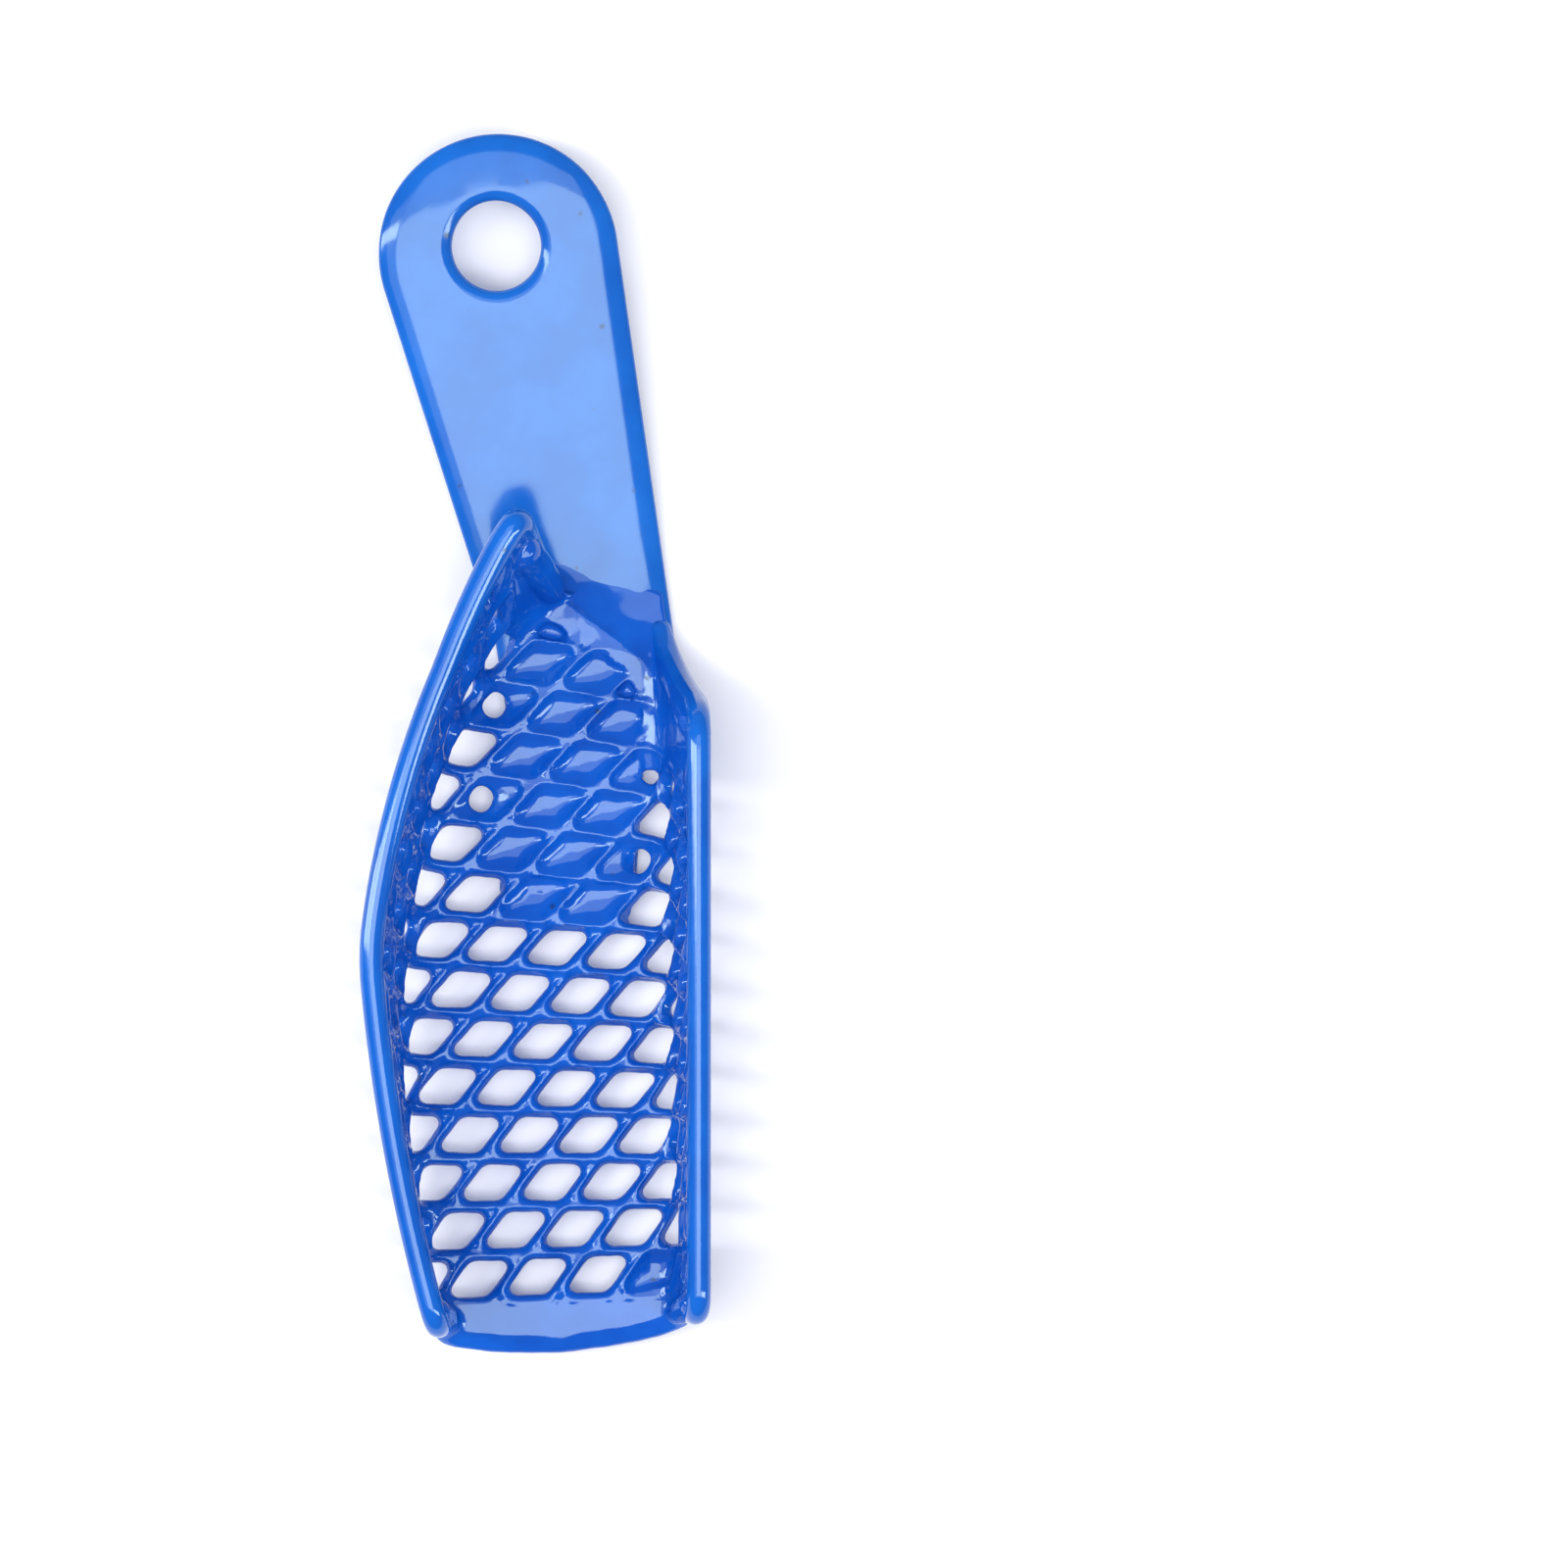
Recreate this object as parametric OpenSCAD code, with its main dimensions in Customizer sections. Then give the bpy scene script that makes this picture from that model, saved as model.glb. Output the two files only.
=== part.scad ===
// Quadrant impression tray: an expanded-metal trough on a flat handle, all dip coated.
// Millimetres. +Z is up, +Y points to the handle's end, z = 0 is the face the tray lies on.
// X = 0 and Y = 0 are the middle of the tray's own bounding box seen from above.

/* [Trough] */
// Height of the rim bead's centre line above the resting face
rim_z = 15.2; // [13:0.1:17]
// Pitch of the diamond rows along the trough
row_pitch = 4.0; // [3.8:0.05:4.2]
// Pitch of the diamonds within one row
cell_pitch = 5.04; // [4.8:0.02:5.3]
// Width of one coated strand of the mesh
strand_w = 0.95; // [0.8:0.05:1.3]
// Thickness of the coated mesh sheet
mesh_t = 1.3; // [1:0.05:1.5]
// Tilt of the first row of diamonds, by the far end
row_tilt_start = 2.2; // [0:0.1:3]
// Change of tilt from each row to the next
row_tilt_step = -0.85; // [-1:0.05:0]

/* [Rim] */
// Radius of the steel border wire
wire_r = 0.7; // [0.5:0.05:0.8]
// Radius of the coated bead around that wire
bead_r = 1.05; // [0.95:0.05:1.2]

/* [Handle] */
// Thickness of the steel handle plate
plate_t = 1.3; // [1:0.05:1.6]
// Thickness of the coat on the plate
coat_t = 0.2; // [0.15:0.05:0.3]
// Radius of the handle's round end
end_r = 10.1; // [9:0.1:11]
// Radius of the hanging hole, measured on the coat
hole_r = 3.75; // [3:0.05:4.5]
// Distance of the hole's centre beyond the centre of the round end
hole_beyond = 0.7; // [0:0.1:1.5]
// Lean of the handle's centre line away from the trough's, seen from above
handle_lean = 13.15; // [8:0.05:18]
// Half of the angle between the handle's two long edges
edge_taper = 5.25; // [3:0.05:7]
// Rise of the handle towards its round end
handle_rise = 8; // [0:0.5:12]
// Distance of the round end's centre from the bend, along the handle
end_run = 28.4; // [24:0.1:32]

/* [Hidden] */
$fn = 64;

// Levels: the tongue lies under the floor mesh, the walls stand on the floor mesh.
floor_z0 = plate_t + 2 * coat_t;
floor_z1 = floor_z0 + mesh_t;
wall_z1 = rim_z - bead_r * cos(15);
web_t = 0.45;

// Border lines seen from above, each a run of arcs: start point, heading, then [radius, length].
// All of them turn clockwise. The left side of the direction of travel is outside the trough.
buccal_rim = [[-7.8, -48.4], 105.8, [[159, 28.9], [22, 5], [81, 35.8]]];
buccal_foot = [[-7.4, -50.2], 106.5, [[84, 39], [100000, 6.5], [30, 20.8]]];
lingual_rim = [[13.95, 1.4], -90, [[100000, 48.7]]];
lingual_foot = [[10.5, 5.4], -88.3, [[100000, 54.9]]];

// The sheet's slanting edge over the handle's neck, and the plain bands at both ends.
neck_edge = [[1.9, 12.9], [11.8, 5.475]];
neck_dir = [0.8, -0.6];
neck_out = [0.6, 0.8];
mesial_band = 2.6;
distal_band_y = -47.2;
distal_tip_y = -51.8;
step_run = 2.4;

// The lattice: first cell, and its sideways step from row to row.
cell_x0 = -4.85;
cell_y0 = -45.2;
cell_step = -1.93;
rows = 15;
strand_angle = atan2(row_pitch, cell_pitch + cell_step);

// Where the handle's centre line crosses the bend.
bend_at = [3.28, 13.95];

// The middle of the tray's outline in the coordinates used above.
outline_mid = [0.395, -0.23];

// ---- Lines made of arcs ----
function turn(h, r, l) = h - l / r * 180 / PI;
function advance(p, h, r, l) =
  p + r * [sin(h) - sin(turn(h, r, l)), cos(turn(h, r, l)) - cos(h)];
function walk(p, h, segs, s, k = 0) =
  (k == len(segs) - 1 || s <= segs[k][1])
    ? [advance(p, h, segs[k][0], s), turn(h, segs[k][0], s)]
    : walk(advance(p, h, segs[k][0], segs[k][1]), turn(h, segs[k][0], segs[k][1]),
           segs, s - segs[k][1], k + 1);
function line_at(line, s) = walk(line[0], line[1], line[2], s);
function run_of(line, k = 0) = k == len(line[2]) ? 0 : line[2][k][1] + run_of(line, k + 1);
function left_of(h) = [-sin(h), cos(h)];
function lift(p, z) = [p[0], p[1], z];
function unit(v) = v / norm(v);

// One cross-section of a wall: inner foot, outer foot, outer top, inner top.
function foot_in(foot, t) = line_at(foot, t * run_of(foot))[0];
function foot_out(foot, t) =
  foot_in(foot, t) + mesh_t * left_of(line_at(foot, t * run_of(foot))[1]);
function top_mid(rim, t) = line_at(rim, t * run_of(rim))[0];
function top_side(rim, t, side) =
  top_mid(rim, t) + side * mesh_t / 2 * left_of(line_at(rim, t * run_of(rim))[1]);
function section(rim, foot, t, drop) = [
  lift(foot_in(foot, t), floor_z1), lift(foot_out(foot, t), floor_z1),
  lift(top_side(rim, t, 1), wall_z1 - drop), lift(top_side(rim, t, -1), wall_z1 - drop)
];
function foot_mid(foot, t) = (foot_in(foot, t) + foot_out(foot, t)) / 2;

// ---- One hole of the lattice, with softened corners ----
function soften(c, prev, next, d) = [
  c + d * unit(prev - c),
  c + 0.26 * d * (unit(prev - c) + unit(next - c)),
  c + d * unit(next - c)
];
hole_h = (row_pitch - strand_w) / 2;
hole_l = (cell_pitch - strand_w / sin(strand_angle)) / 2;
hole_s = hole_h / tan(strand_angle);
hole_c = [[-hole_l - hole_s, -hole_h], [hole_l - hole_s, -hole_h],
          [hole_l + hole_s, hole_h], [hole_s - hole_l, hole_h]];
hole_pts = [for (k = [0 : 3])
  each soften(hole_c[k], hole_c[(k + 3) % 4], hole_c[(k + 1) % 4], k % 2 == 0 ? 1.8 : 0.7)];

// ---- Where the cells are ----
function tilt(j) = row_tilt_start + row_tilt_step * j;
function cell_x(i, j) = cell_x0 + cell_pitch * i + cell_step * j;
function cell_y(x, j) = cell_y0 + row_pitch * j + x * tan(tilt(j));
samples = 36;
buccal_by_y = [for (k = [0 : samples])
  let (p = foot_in(buccal_foot, k / samples)) [p[1], p[0]]];
buccal_t_by_y = [for (k = [0 : samples]) [foot_in(buccal_foot, k / samples)[1], k / samples]];
function buccal_x(y) = lookup(y, buccal_by_y);
function lingual_t(y) = (lingual_foot[0][1] - y) / (lingual_foot[0][1] - foot_in(lingual_foot, 1)[1]);
function lingual_x(y) = foot_in(lingual_foot, lingual_t(y))[0];
function past_neck(p) = (p - neck_edge[0]) * neck_out;

module placed() {
  translate([-outline_mid[0], -outline_mid[1], 0]) children();
}

module diamond() {
  polygon(hole_pts);
}

// All floor cells whose centres lie between the two wall feet and the two plain bands.
module floor_cells() {
  for (j = [0 : rows], i = [-3 : 9]) {
    x = cell_x(i, j);
    y = cell_y(x, j);
    if (x > buccal_x(y) - 0.8 && x < lingual_x(y) + 0.8
        && past_neck([x, y]) < -mesial_band - 1.6 && !(j == 0 && x > 9))
      translate([x, y]) rotate(tilt(j)) diamond();
  }
}

// The floor inside the walls and between the plain bands, where cells are allowed.
module open_floor(inset) {
  polygon(concat(
    [for (k = [0 : samples])
      let (p = foot_in(buccal_foot, k / samples))
        [p[0] + inset, min(p[1], 20)]],
    [neck_edge[0] - mesial_band * neck_out, neck_edge[1] - mesial_band * neck_out],
    [foot_in(lingual_foot, 0) - [inset, 0], foot_in(lingual_foot, 1) - [inset, 0]]
  ));
}

// ---- Outlines of the sheet seen from above ----
function distal_y(x) = distal_tip_y + pow(x + 0.6, 2) / 84;
sheet_left = [for (k = [0 : samples]) foot_out(buccal_foot, k / samples)];
sheet_right = [foot_out(lingual_foot, 0), foot_out(lingual_foot, 1)];

module sheet_outline() {
  polygon(concat(
    sheet_left,
    [neck_edge[0]],
    sheet_right,
    [for (k = [0 : 12]) let (x = 13 - k * 20.6 / 12) [x, distal_y(x)]]
  ));
}

module distal_half() {
  translate([-30, distal_band_y - 30]) square([60, 30]);
}

module mesial_half() {
  a = neck_edge[0] - mesial_band * neck_out;
  polygon([a - 20 * neck_dir, a + 40 * neck_dir,
           a + 40 * neck_dir + 20 * neck_out, a - 20 * neck_dir + 20 * neck_out]);
}

// ---- Steel sheet, drawn at its coated size ----
module floor_mesh() {
  color("royalblue") placed()
    translate([0, 0, floor_z0])
      linear_extrude(mesh_t)
        difference() {
          sheet_outline();
          distal_half();
          mesial_half();
          intersection() {
            floor_cells();
            open_floor(0.35);
          }
        }
}

module distal_strip() {
  color("royalblue") placed()
    translate([0, 0, floor_z0])
      linear_extrude(mesh_t)
        intersection() {
          sheet_outline();
          distal_half();
        }
}

module mesial_strip() {
  color("royalblue") placed()
    translate([0, 0, floor_z0])
      linear_extrude(mesh_t)
        intersection() {
          sheet_outline();
          mesial_half();
        }
}

// A wall as one closed shell from one end leg of its border wire to the other.
module wall_shell(rim, foot, n) {
  t0 = bead_r / run_of(foot);
  stops = concat([t0], [for (k = [0 : n]) t0 + 0.014 + (1 - 2 * t0 - 0.028) * k / n], [1 - t0]);
  last = 4 * (len(stops) - 1);
  pts = [for (k = [0 : n + 2]) each section(rim, foot, stops[k], (k == 0 || k == n + 2) ? 0.6 : 0)];
  sides = [for (k = [0 : n + 1], e = [0 : 3])
    let (a = 4 * k + e, b = 4 * k + (e + 1) % 4)
      each [[a, a + 4, b], [b, a + 4, b + 4]]];
  polyhedron(points = pts,
             faces = concat(sides, [[0, 1, 2, 3]], [[last + 3, last + 2, last + 1, last]]));
}

// A cell of a wall, v up from the foot along the wall's slope; way is -1 for the buccal wall.
module wall_cell(rim, foot, t, v, way) {
  a = lift(foot_mid(foot, t), floor_z1);
  b = lift(top_mid(rim, t), wall_z1);
  ahead = lift(foot_mid(foot, t + 0.01), floor_z1);
  up = unit(b - a);
  along0 = unit(ahead - a) * (-way);
  out = unit(cross(along0, up));
  along = cross(up, out);
  c = a + v * up;
  rise = norm(b - a);
  multmatrix([[along[0], up[0], out[0], c[0]],
              [along[1], up[1], out[1], c[1]],
              [along[2], up[2], out[2], c[2]],
              [0, 0, 0, 1]])
    linear_extrude(4, center = true)
      intersection() {
        polygon([for (p = hole_pts) [p[1], way * p[0]]]);
        translate([-3, 0.75 - v]) square([6, rise - 1.25]);
      }
}

module buccal_wall_mesh() {
  color("royalblue") placed()
    difference() {
      wall_shell(buccal_rim, buccal_foot, samples - 2);
      for (j = [0 : rows + 1], i = [-5 : 4]) {
        fx = buccal_x(cell_y0 + row_pitch * j);
        y = cell_y(fx, j);
        v = fx - cell_x(i, j) - 0.4;
        t = lookup(y, buccal_t_by_y);
        if (v > -0.8 && v < wall_z1 - floor_z1 + 0.6 && t > 0.05 && t < 0.925)
          wall_cell(buccal_rim, buccal_foot, t, v, -1);
      }
    }
}

module lingual_wall_mesh() {
  color("royalblue") placed()
    difference() {
      wall_shell(lingual_rim, lingual_foot, 8);
      for (j = [1 : rows], i = [0 : 12]) {
        fx = lingual_x(cell_y0 + row_pitch * j);
        y = cell_y(fx, j);
        v = cell_x(i, j) - fx - 0.4;
        t = lingual_t(y);
        if (v > -0.8 && v < wall_z1 - floor_z1 + 0.6 && t > 0.13 && t < 0.955)
          wall_cell(lingual_rim, lingual_foot, t, v, 1);
      }
    }
}

// ---- Rim: one border wire up the wall's end, along its top and down the other end ----
function at_rim(rim, t) = lift(top_mid(rim, t), rim_z);
function at_floor(foot, t) = lift(foot_mid(foot, t), floor_z1);
bend_cut = 0.5;
function wire_path(rim, foot, n) =
  let (c0 = at_rim(rim, 0), c1 = at_rim(rim, 1), f0 = at_floor(foot, 0), f1 = at_floor(foot, 1))
    concat(
      [f0, c0 + bend_cut * unit(f0 - c0), c0 + bend_cut * unit(at_rim(rim, 0.05) - c0)],
      [for (k = [1 : n - 1]) at_rim(rim, k / n)],
      [c1 + bend_cut * unit(at_rim(rim, 0.95) - c1), c1 + bend_cut * unit(f1 - c1), f1]
    );

// Slides each point of a ring along d until it meets the plane through p with normal n.
function slide(ring, d, p, n) = [for (q = ring) q + d * (((p - q) * n) / (d * n))];
function first_ring(path, bar, sides) =
  let (d = unit(path[1] - path[0]), inward = path[4] - path[0],
       e1 = unit(inward - d * (inward * d)), e2 = cross(d, e1),
       ring = [for (k = [0 : sides - 1]) let (a = (k + 0.5) * 360 / sides)
         path[0] + bar * (cos(a) * e1 + sin(a) * e2)])
    slide(ring, d, path[0], [0, 0, 1]);
function rings(path, ring, k = 0) =
  k == len(path) - 1
    ? [ring]
    : let (d = unit(path[k + 1] - path[k]),
           n = k + 2 < len(path) ? d + unit(path[k + 2] - path[k + 1]) : [0, 0, 1])
        concat([ring], rings(path, slide(ring, d, path[k + 1], n), k + 1));
function quads(n, sides, base, flip) = [
  for (k = [0 : n - 2], e = [0 : sides - 1])
    let (a = base + k * sides + e, b = base + k * sides + (e + 1) % sides)
      each (flip ? [[a, a + sides, b], [b, a + sides, b + sides]]
                 : [[a, b, a + sides], [b, b + sides, a + sides]])
];

// The wire itself: a closed bar.
module wire_bar(rim, foot, n, bar, sides) {
  path = wire_path(rim, foot, n);
  all_rings = rings(path, first_ring(path, bar, sides));
  last = (len(path) - 1) * sides;
  polyhedron(
    points = [for (r = all_rings) each r],
    faces = concat(quads(len(path), sides, 0, true), [[for (k = [0 : sides - 1]) k]],
                   [[for (k = [sides - 1 : -1 : 0]) last + k]])
  );
}

// The coat on it: a tube with ring-shaped ends.
module wire_tube(rim, foot, n, outer, inner, sides) {
  path = wire_path(rim, foot, n);
  big = rings(path, first_ring(path, outer, sides));
  small = rings(path, first_ring(path, inner, sides));
  m = len(path) * sides;
  last = m - sides;
  polyhedron(
    points = concat([for (r = big) each r], [for (r = small) each r]),
    faces = concat(
      quads(len(path), sides, 0, true),
      quads(len(path), sides, m, false),
      [for (k = [0 : sides - 1]) let (b = (k + 1) % sides) each [[k, b, m + k], [b, m + b, m + k]]],
      [for (k = [0 : sides - 1]) let (b = (k + 1) % sides)
        each [[last + b, last + k, m + last + k], [m + last + b, last + b, m + last + k]]]
    )
  );
}

module buccal_rim_wire() {
  color("silver") placed() wire_bar(buccal_rim, buccal_foot, 24, wire_r, 12);
}

module buccal_rim_coat() {
  color("dodgerblue") placed() wire_tube(buccal_rim, buccal_foot, 24, bead_r, wire_r, 12);
}

module lingual_rim_wire() {
  color("silver") placed() wire_bar(lingual_rim, lingual_foot, 4, wire_r, 12);
}

module lingual_rim_coat() {
  color("dodgerblue") placed() wire_tube(lingual_rim, lingual_foot, 4, bead_r, wire_r, 12);
}

// ---- Handle: one flat plate, its tongue running on under the floor ----
// e is how far the outline stands in from the coated edge.
function half_at(run, e) = (end_r - e + (run - end_run) * sin(edge_taper)) / cos(edge_taper);

module handle_outline(e) {
  touch = [(end_r - e) * cos(edge_taper), end_run - (end_r - e) * sin(edge_taper)];
  translate([0, end_run]) circle(end_r - e);
  polygon([
    [-touch[0], touch[1]],
    [-half_at(0, e), 0],
    [half_at(0, e), 0],
    touch
  ]);
}

module raised_handle(e) {
  translate(lift(bend_at, 0)) rotate(handle_lean) rotate([handle_rise, 0, 0])
    translate([0, 0, e])
      linear_extrude(floor_z0 - 2 * e)
        difference() {
          handle_outline(e);
          translate([0, end_run + hole_beyond]) circle(hole_r + e);
        }
}

module neck_outline(e) {
  across = half_at(0, e) * [cos(handle_lean), sin(handle_lean)];
  polygon([
    bend_at - across, bend_at + across, [11.75 - e, 8.4], [11.5 - e, 5.2 + 0.4 * e],
    [9.3 - e, 1.8], [8.2 - e, -14.6 + 0.6 * e], [7.2 - e, -15.6 + e], [-2.3 + e, -15.6 + e],
    [-3.3 + e, -14.6 + 0.6 * e], [-2.4 + e, 3], [-3.4 + e, 8.0]
  ]);
}

// The flat part: the neck at the bend, narrowing to the tongue under the mesh.
module flat_tongue(e) {
  translate([0, 0, e]) linear_extrude(floor_z0 - 2 * e) neck_outline(e);
}

module handle_solid(e) {
  raised_handle(e);
  flat_tongue(e);
}

module handle_plate() {
  color("silver") placed() handle_solid(coat_t);
}

module handle_coat() {
  color("dodgerblue") placed()
    difference() {
      handle_solid(0);
      handle_solid(coat_t);
      spot_weld_set();
    }
}

// Spot welds from the plate up to crossings of the mesh above it.
module spot_weld_set() {
  for (j = [8, 10, 12]) {
    x = cell_x(j / 2, j) + (cell_pitch + cell_step) / 2;
    translate([x, cell_y(x, j) + row_pitch / 2, plate_t + coat_t])
      cylinder(r = 0.5, h = coat_t);
  }
}

module spot_welds() {
  color("silver") placed() spot_weld_set();
}

// Coat that has pooled in the cells above the tongue and closed them.
module cell_webs() {
  color("dodgerblue") placed()
    translate([0, 0, floor_z0])
      linear_extrude(web_t)
        intersection() {
          floor_cells();
          open_floor(0.35);
          polygon([[12, 6], [9.0, 2.2], [8.2, -15.4], [-3.3, -15.4], [-2.6, 3], [-4, 9], [2, 13]]);
        }
}

// Coat ramp from the sheet's edge down onto the neck.
module step_fillet() {
  color("dodgerblue") placed()
    intersection() {
      translate([neck_edge[0][0], neck_edge[0][1], floor_z0])
        rotate(atan2(neck_dir[1], neck_dir[0]))
          rotate([90, 0, 90])
            linear_extrude(norm(neck_edge[1] - neck_edge[0]))
              polygon([[0, 0], [step_run, 0], [0, mesh_t]]);
      translate([0, 0, floor_z0 - 1]) linear_extrude(5) neck_outline(0);
    }
}

floor_mesh();
buccal_wall_mesh();
lingual_wall_mesh();
distal_strip();
mesial_strip();
handle_plate();
handle_coat();
step_fillet();
cell_webs();
spot_welds();
buccal_rim_wire();
buccal_rim_coat();
lingual_rim_wire();
lingual_rim_coat();
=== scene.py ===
# A quadrant impression tray: pressed expanded metal on a flat steel handle, dip coated in glossy blue.
# Lengths are in metres in the part's own frame: +Z up out of the trough, +Y towards the handle's end.
import math

import bmesh
import bpy
import numpy as np
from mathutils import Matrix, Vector


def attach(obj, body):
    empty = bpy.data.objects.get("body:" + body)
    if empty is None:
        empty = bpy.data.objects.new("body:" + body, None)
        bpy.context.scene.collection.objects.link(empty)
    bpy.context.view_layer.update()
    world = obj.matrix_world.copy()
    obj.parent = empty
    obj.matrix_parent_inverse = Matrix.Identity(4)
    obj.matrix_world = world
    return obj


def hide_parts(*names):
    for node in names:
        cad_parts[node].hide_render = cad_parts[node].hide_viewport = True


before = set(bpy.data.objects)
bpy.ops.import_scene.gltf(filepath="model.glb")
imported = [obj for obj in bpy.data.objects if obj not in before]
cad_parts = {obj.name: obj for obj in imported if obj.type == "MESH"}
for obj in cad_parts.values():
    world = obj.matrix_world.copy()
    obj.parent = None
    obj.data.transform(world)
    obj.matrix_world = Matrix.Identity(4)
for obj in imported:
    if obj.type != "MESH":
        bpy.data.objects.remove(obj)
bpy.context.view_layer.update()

# ---- Spot welds -------------------------------------------------------------------------------
# Three spot welds hold the mesh to the tongue. They are bare rolled steel under the dip, so they stay
# as the CAD has them. The plate's core and the border wires are of the same steel.


class Wire:
    """A shader socket that takes part in sums, so that a pattern reads as an expression."""

    def __init__(self, tree, socket):
        self.tree, self.socket = tree, socket

    def node(self, kind, settings=None, out=0, **links):
        """A new node, its inputs given by name, or by number as i0, i1, ..."""
        new = self.tree.nodes.new(kind)
        for name, value in (settings or {}).items():
            setattr(new, name, value)
        for name, value in links.items():
            key = int(name[1:]) if name[1:].isdigit() and name[0] == "i" else name.replace("_", " ")
            target = new.inputs[key]
            if isinstance(value, Wire):
                self.tree.links.new(value.socket, target)
            else:
                target.default_value = value
        return Wire(self.tree, new.outputs[out])

    def math(self, operation, other=0.0, third=0.0):
        return self.node("ShaderNodeMath", {"operation": operation}, i0=self, i1=other, i2=third)

    def __add__(self, other):
        return self.math("ADD", other)

    __radd__ = __add__

    def __mul__(self, other):
        return self.math("MULTIPLY", other)

    __rmul__ = __mul__

    def __sub__(self, other):
        return self.math("SUBTRACT", other)

    def __rsub__(self, other):
        return self.node("ShaderNodeMath", {"operation": "SUBTRACT"}, i0=other, i1=self)

    def clamp(self):
        return self.node("ShaderNodeClamp", Value=self)

    def step(self, low, high):
        """0 below low, 1 above high, smooth between."""
        return self.node("ShaderNodeMapRange", {"interpolation_type": "SMOOTHSTEP"},
                         Value=self, From_Min=low, From_Max=high)

    def mix(self, colour_a, colour_b):
        """Colour a where self is 0, colour b where it is 1."""
        return self.node("ShaderNodeMix", {"data_type": "RGBA"}, out=2, i0=self, i6=colour_a, i7=colour_b)


def new_material(name):
    """A fresh Principled material, its shader and the Object coordinates to draw patterns on."""
    material = bpy.data.materials.new(name)
    material.use_nodes = True
    tree = material.node_tree
    shader = tree.nodes["Principled BSDF"]
    place = Wire(tree, tree.nodes.new("ShaderNodeTexCoord").outputs["Object"])
    return material, shader, place


def feed(shader, socket, wire):
    """Joins a pattern to one of a shader's inputs."""
    wire.tree.links.new(wire.socket, shader.inputs[socket])


def steel_finish():
    """Rolled steel: pale grey, with fine lines along the rolling and faint blotches."""
    material, shader, place = new_material("rolled_steel")
    grain = place.node("ShaderNodeMapping", Vector=place, Scale=(900, 60, 900))
    lines = grain.node("ShaderNodeTexNoise", Vector=grain, Scale=2.0, Detail=3.0)
    blotch = place.node("ShaderNodeTexNoise", Vector=place, Scale=140.0, Detail=2.0)
    feed(shader, "Base Color", blotch.step(0.3, 0.7).mix((0.50, 0.51, 0.53, 1), (0.62, 0.63, 0.65, 1)))
    feed(shader, "Roughness", 0.28 + 0.16 * lines)
    feed(shader, "Normal", lines.node("ShaderNodeBump", Height=lines, Strength=0.15, Distance=0.00005))
    shader.inputs["Metallic"].default_value = 1.0
    return material


steel = steel_finish()
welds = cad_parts["spot_welds"]
welds.data.materials.clear()
welds.data.materials.append(steel)

# ---- Handle coat ------------------------------------------------------------------------------
# The steel plate comes out of the dip as one soft-edged blade: flat in the middle, drawn thin and
# round over its edges and through the hanging hole. Beyond the bend it rises towards its round end.
# The core is the same blade a little smaller, so that the coat hides it everywhere.
MM = 0.001
MIDDLE = np.array([0.395, -0.23, 0.0])  # the part's origin in the drawing's millimetres

PLATE = 1.7
END_RADIUS = 10.1
END_RUN = 28.33
HOLE_RADIUS = 3.75
HOLE_BEYOND = 0.77
LEAN = math.radians(13.15)
TAPER = math.radians(5.25)
BEND_AT = np.array([3.28, 13.95])
ALONG = np.array([-math.sin(LEAN), math.cos(LEAN)])
ACROSS = np.array([math.cos(LEAN), math.sin(LEAN)])
# The edge's curve runs in over SOFT_EDGE at the outline, and over LIP round the hole.
SOFT_EDGE = 2.7
LIP = 1.15
SOFT_STEPS = 10
ROUND_STEPS = 64
FILLET_POINTS = 9
BEND_CUTS = 9
CORE_INSIDE, CORE_HALF = 0.35, 0.6
# Bends of the blade: (where along it the bend starts, its length, its angle upwards).
BENDS = ((-2.5, 5.0, math.radians(8.0)), (31.2, 2.6, math.radians(-7.0)))


def to_metres(points):
    """From the drawing's millimetres to the part's own metres."""
    return (np.asarray(points, float) - MIDDLE) * MM


def rounded_corner(a, b, c, radius, inset, count):
    """Points of the fillet at corner b of a clockwise outline whose edges stand in by inset."""
    d1, d2 = (b - a) / np.linalg.norm(b - a), (c - b) / np.linalg.norm(c - b)
    in1, in2 = np.array([d1[1], -d1[0]]), np.array([d2[1], -d2[0]])
    turn = d1[0] * d2[1] - d1[1] * d2[0]
    half = (in1 + in2) / (1 + in1 @ in2)
    side = -1 if turn > 0 else 1  # -1 at a hollow corner
    centre = b + half * radius * side
    reach = radius - inset * side
    start, end = -in1 * side, -in2 * side
    span = math.atan2(start[0] * end[1] - start[1] * end[0], start @ end)
    angle = math.atan2(start[1], start[0])
    return [centre + reach * np.array([math.cos(angle + span * k / (count - 1)),
                                       math.sin(angle + span * k / (count - 1))]) for k in range(count)]


# Corners of neck and tongue, clockwise from the handle's right edge, each with its fillet radius.
NECK = [((11.75, 8.4), 6.0), ((11.6, 4.9), 4.0), ((9.3, 1.2), 5.0), ((8.2, -15.6), 3.2),
        ((-3.3, -15.6), 3.2), ((-2.5, 2.0), 6.0), ((-3.6, 9.2), 6.0)]


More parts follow.
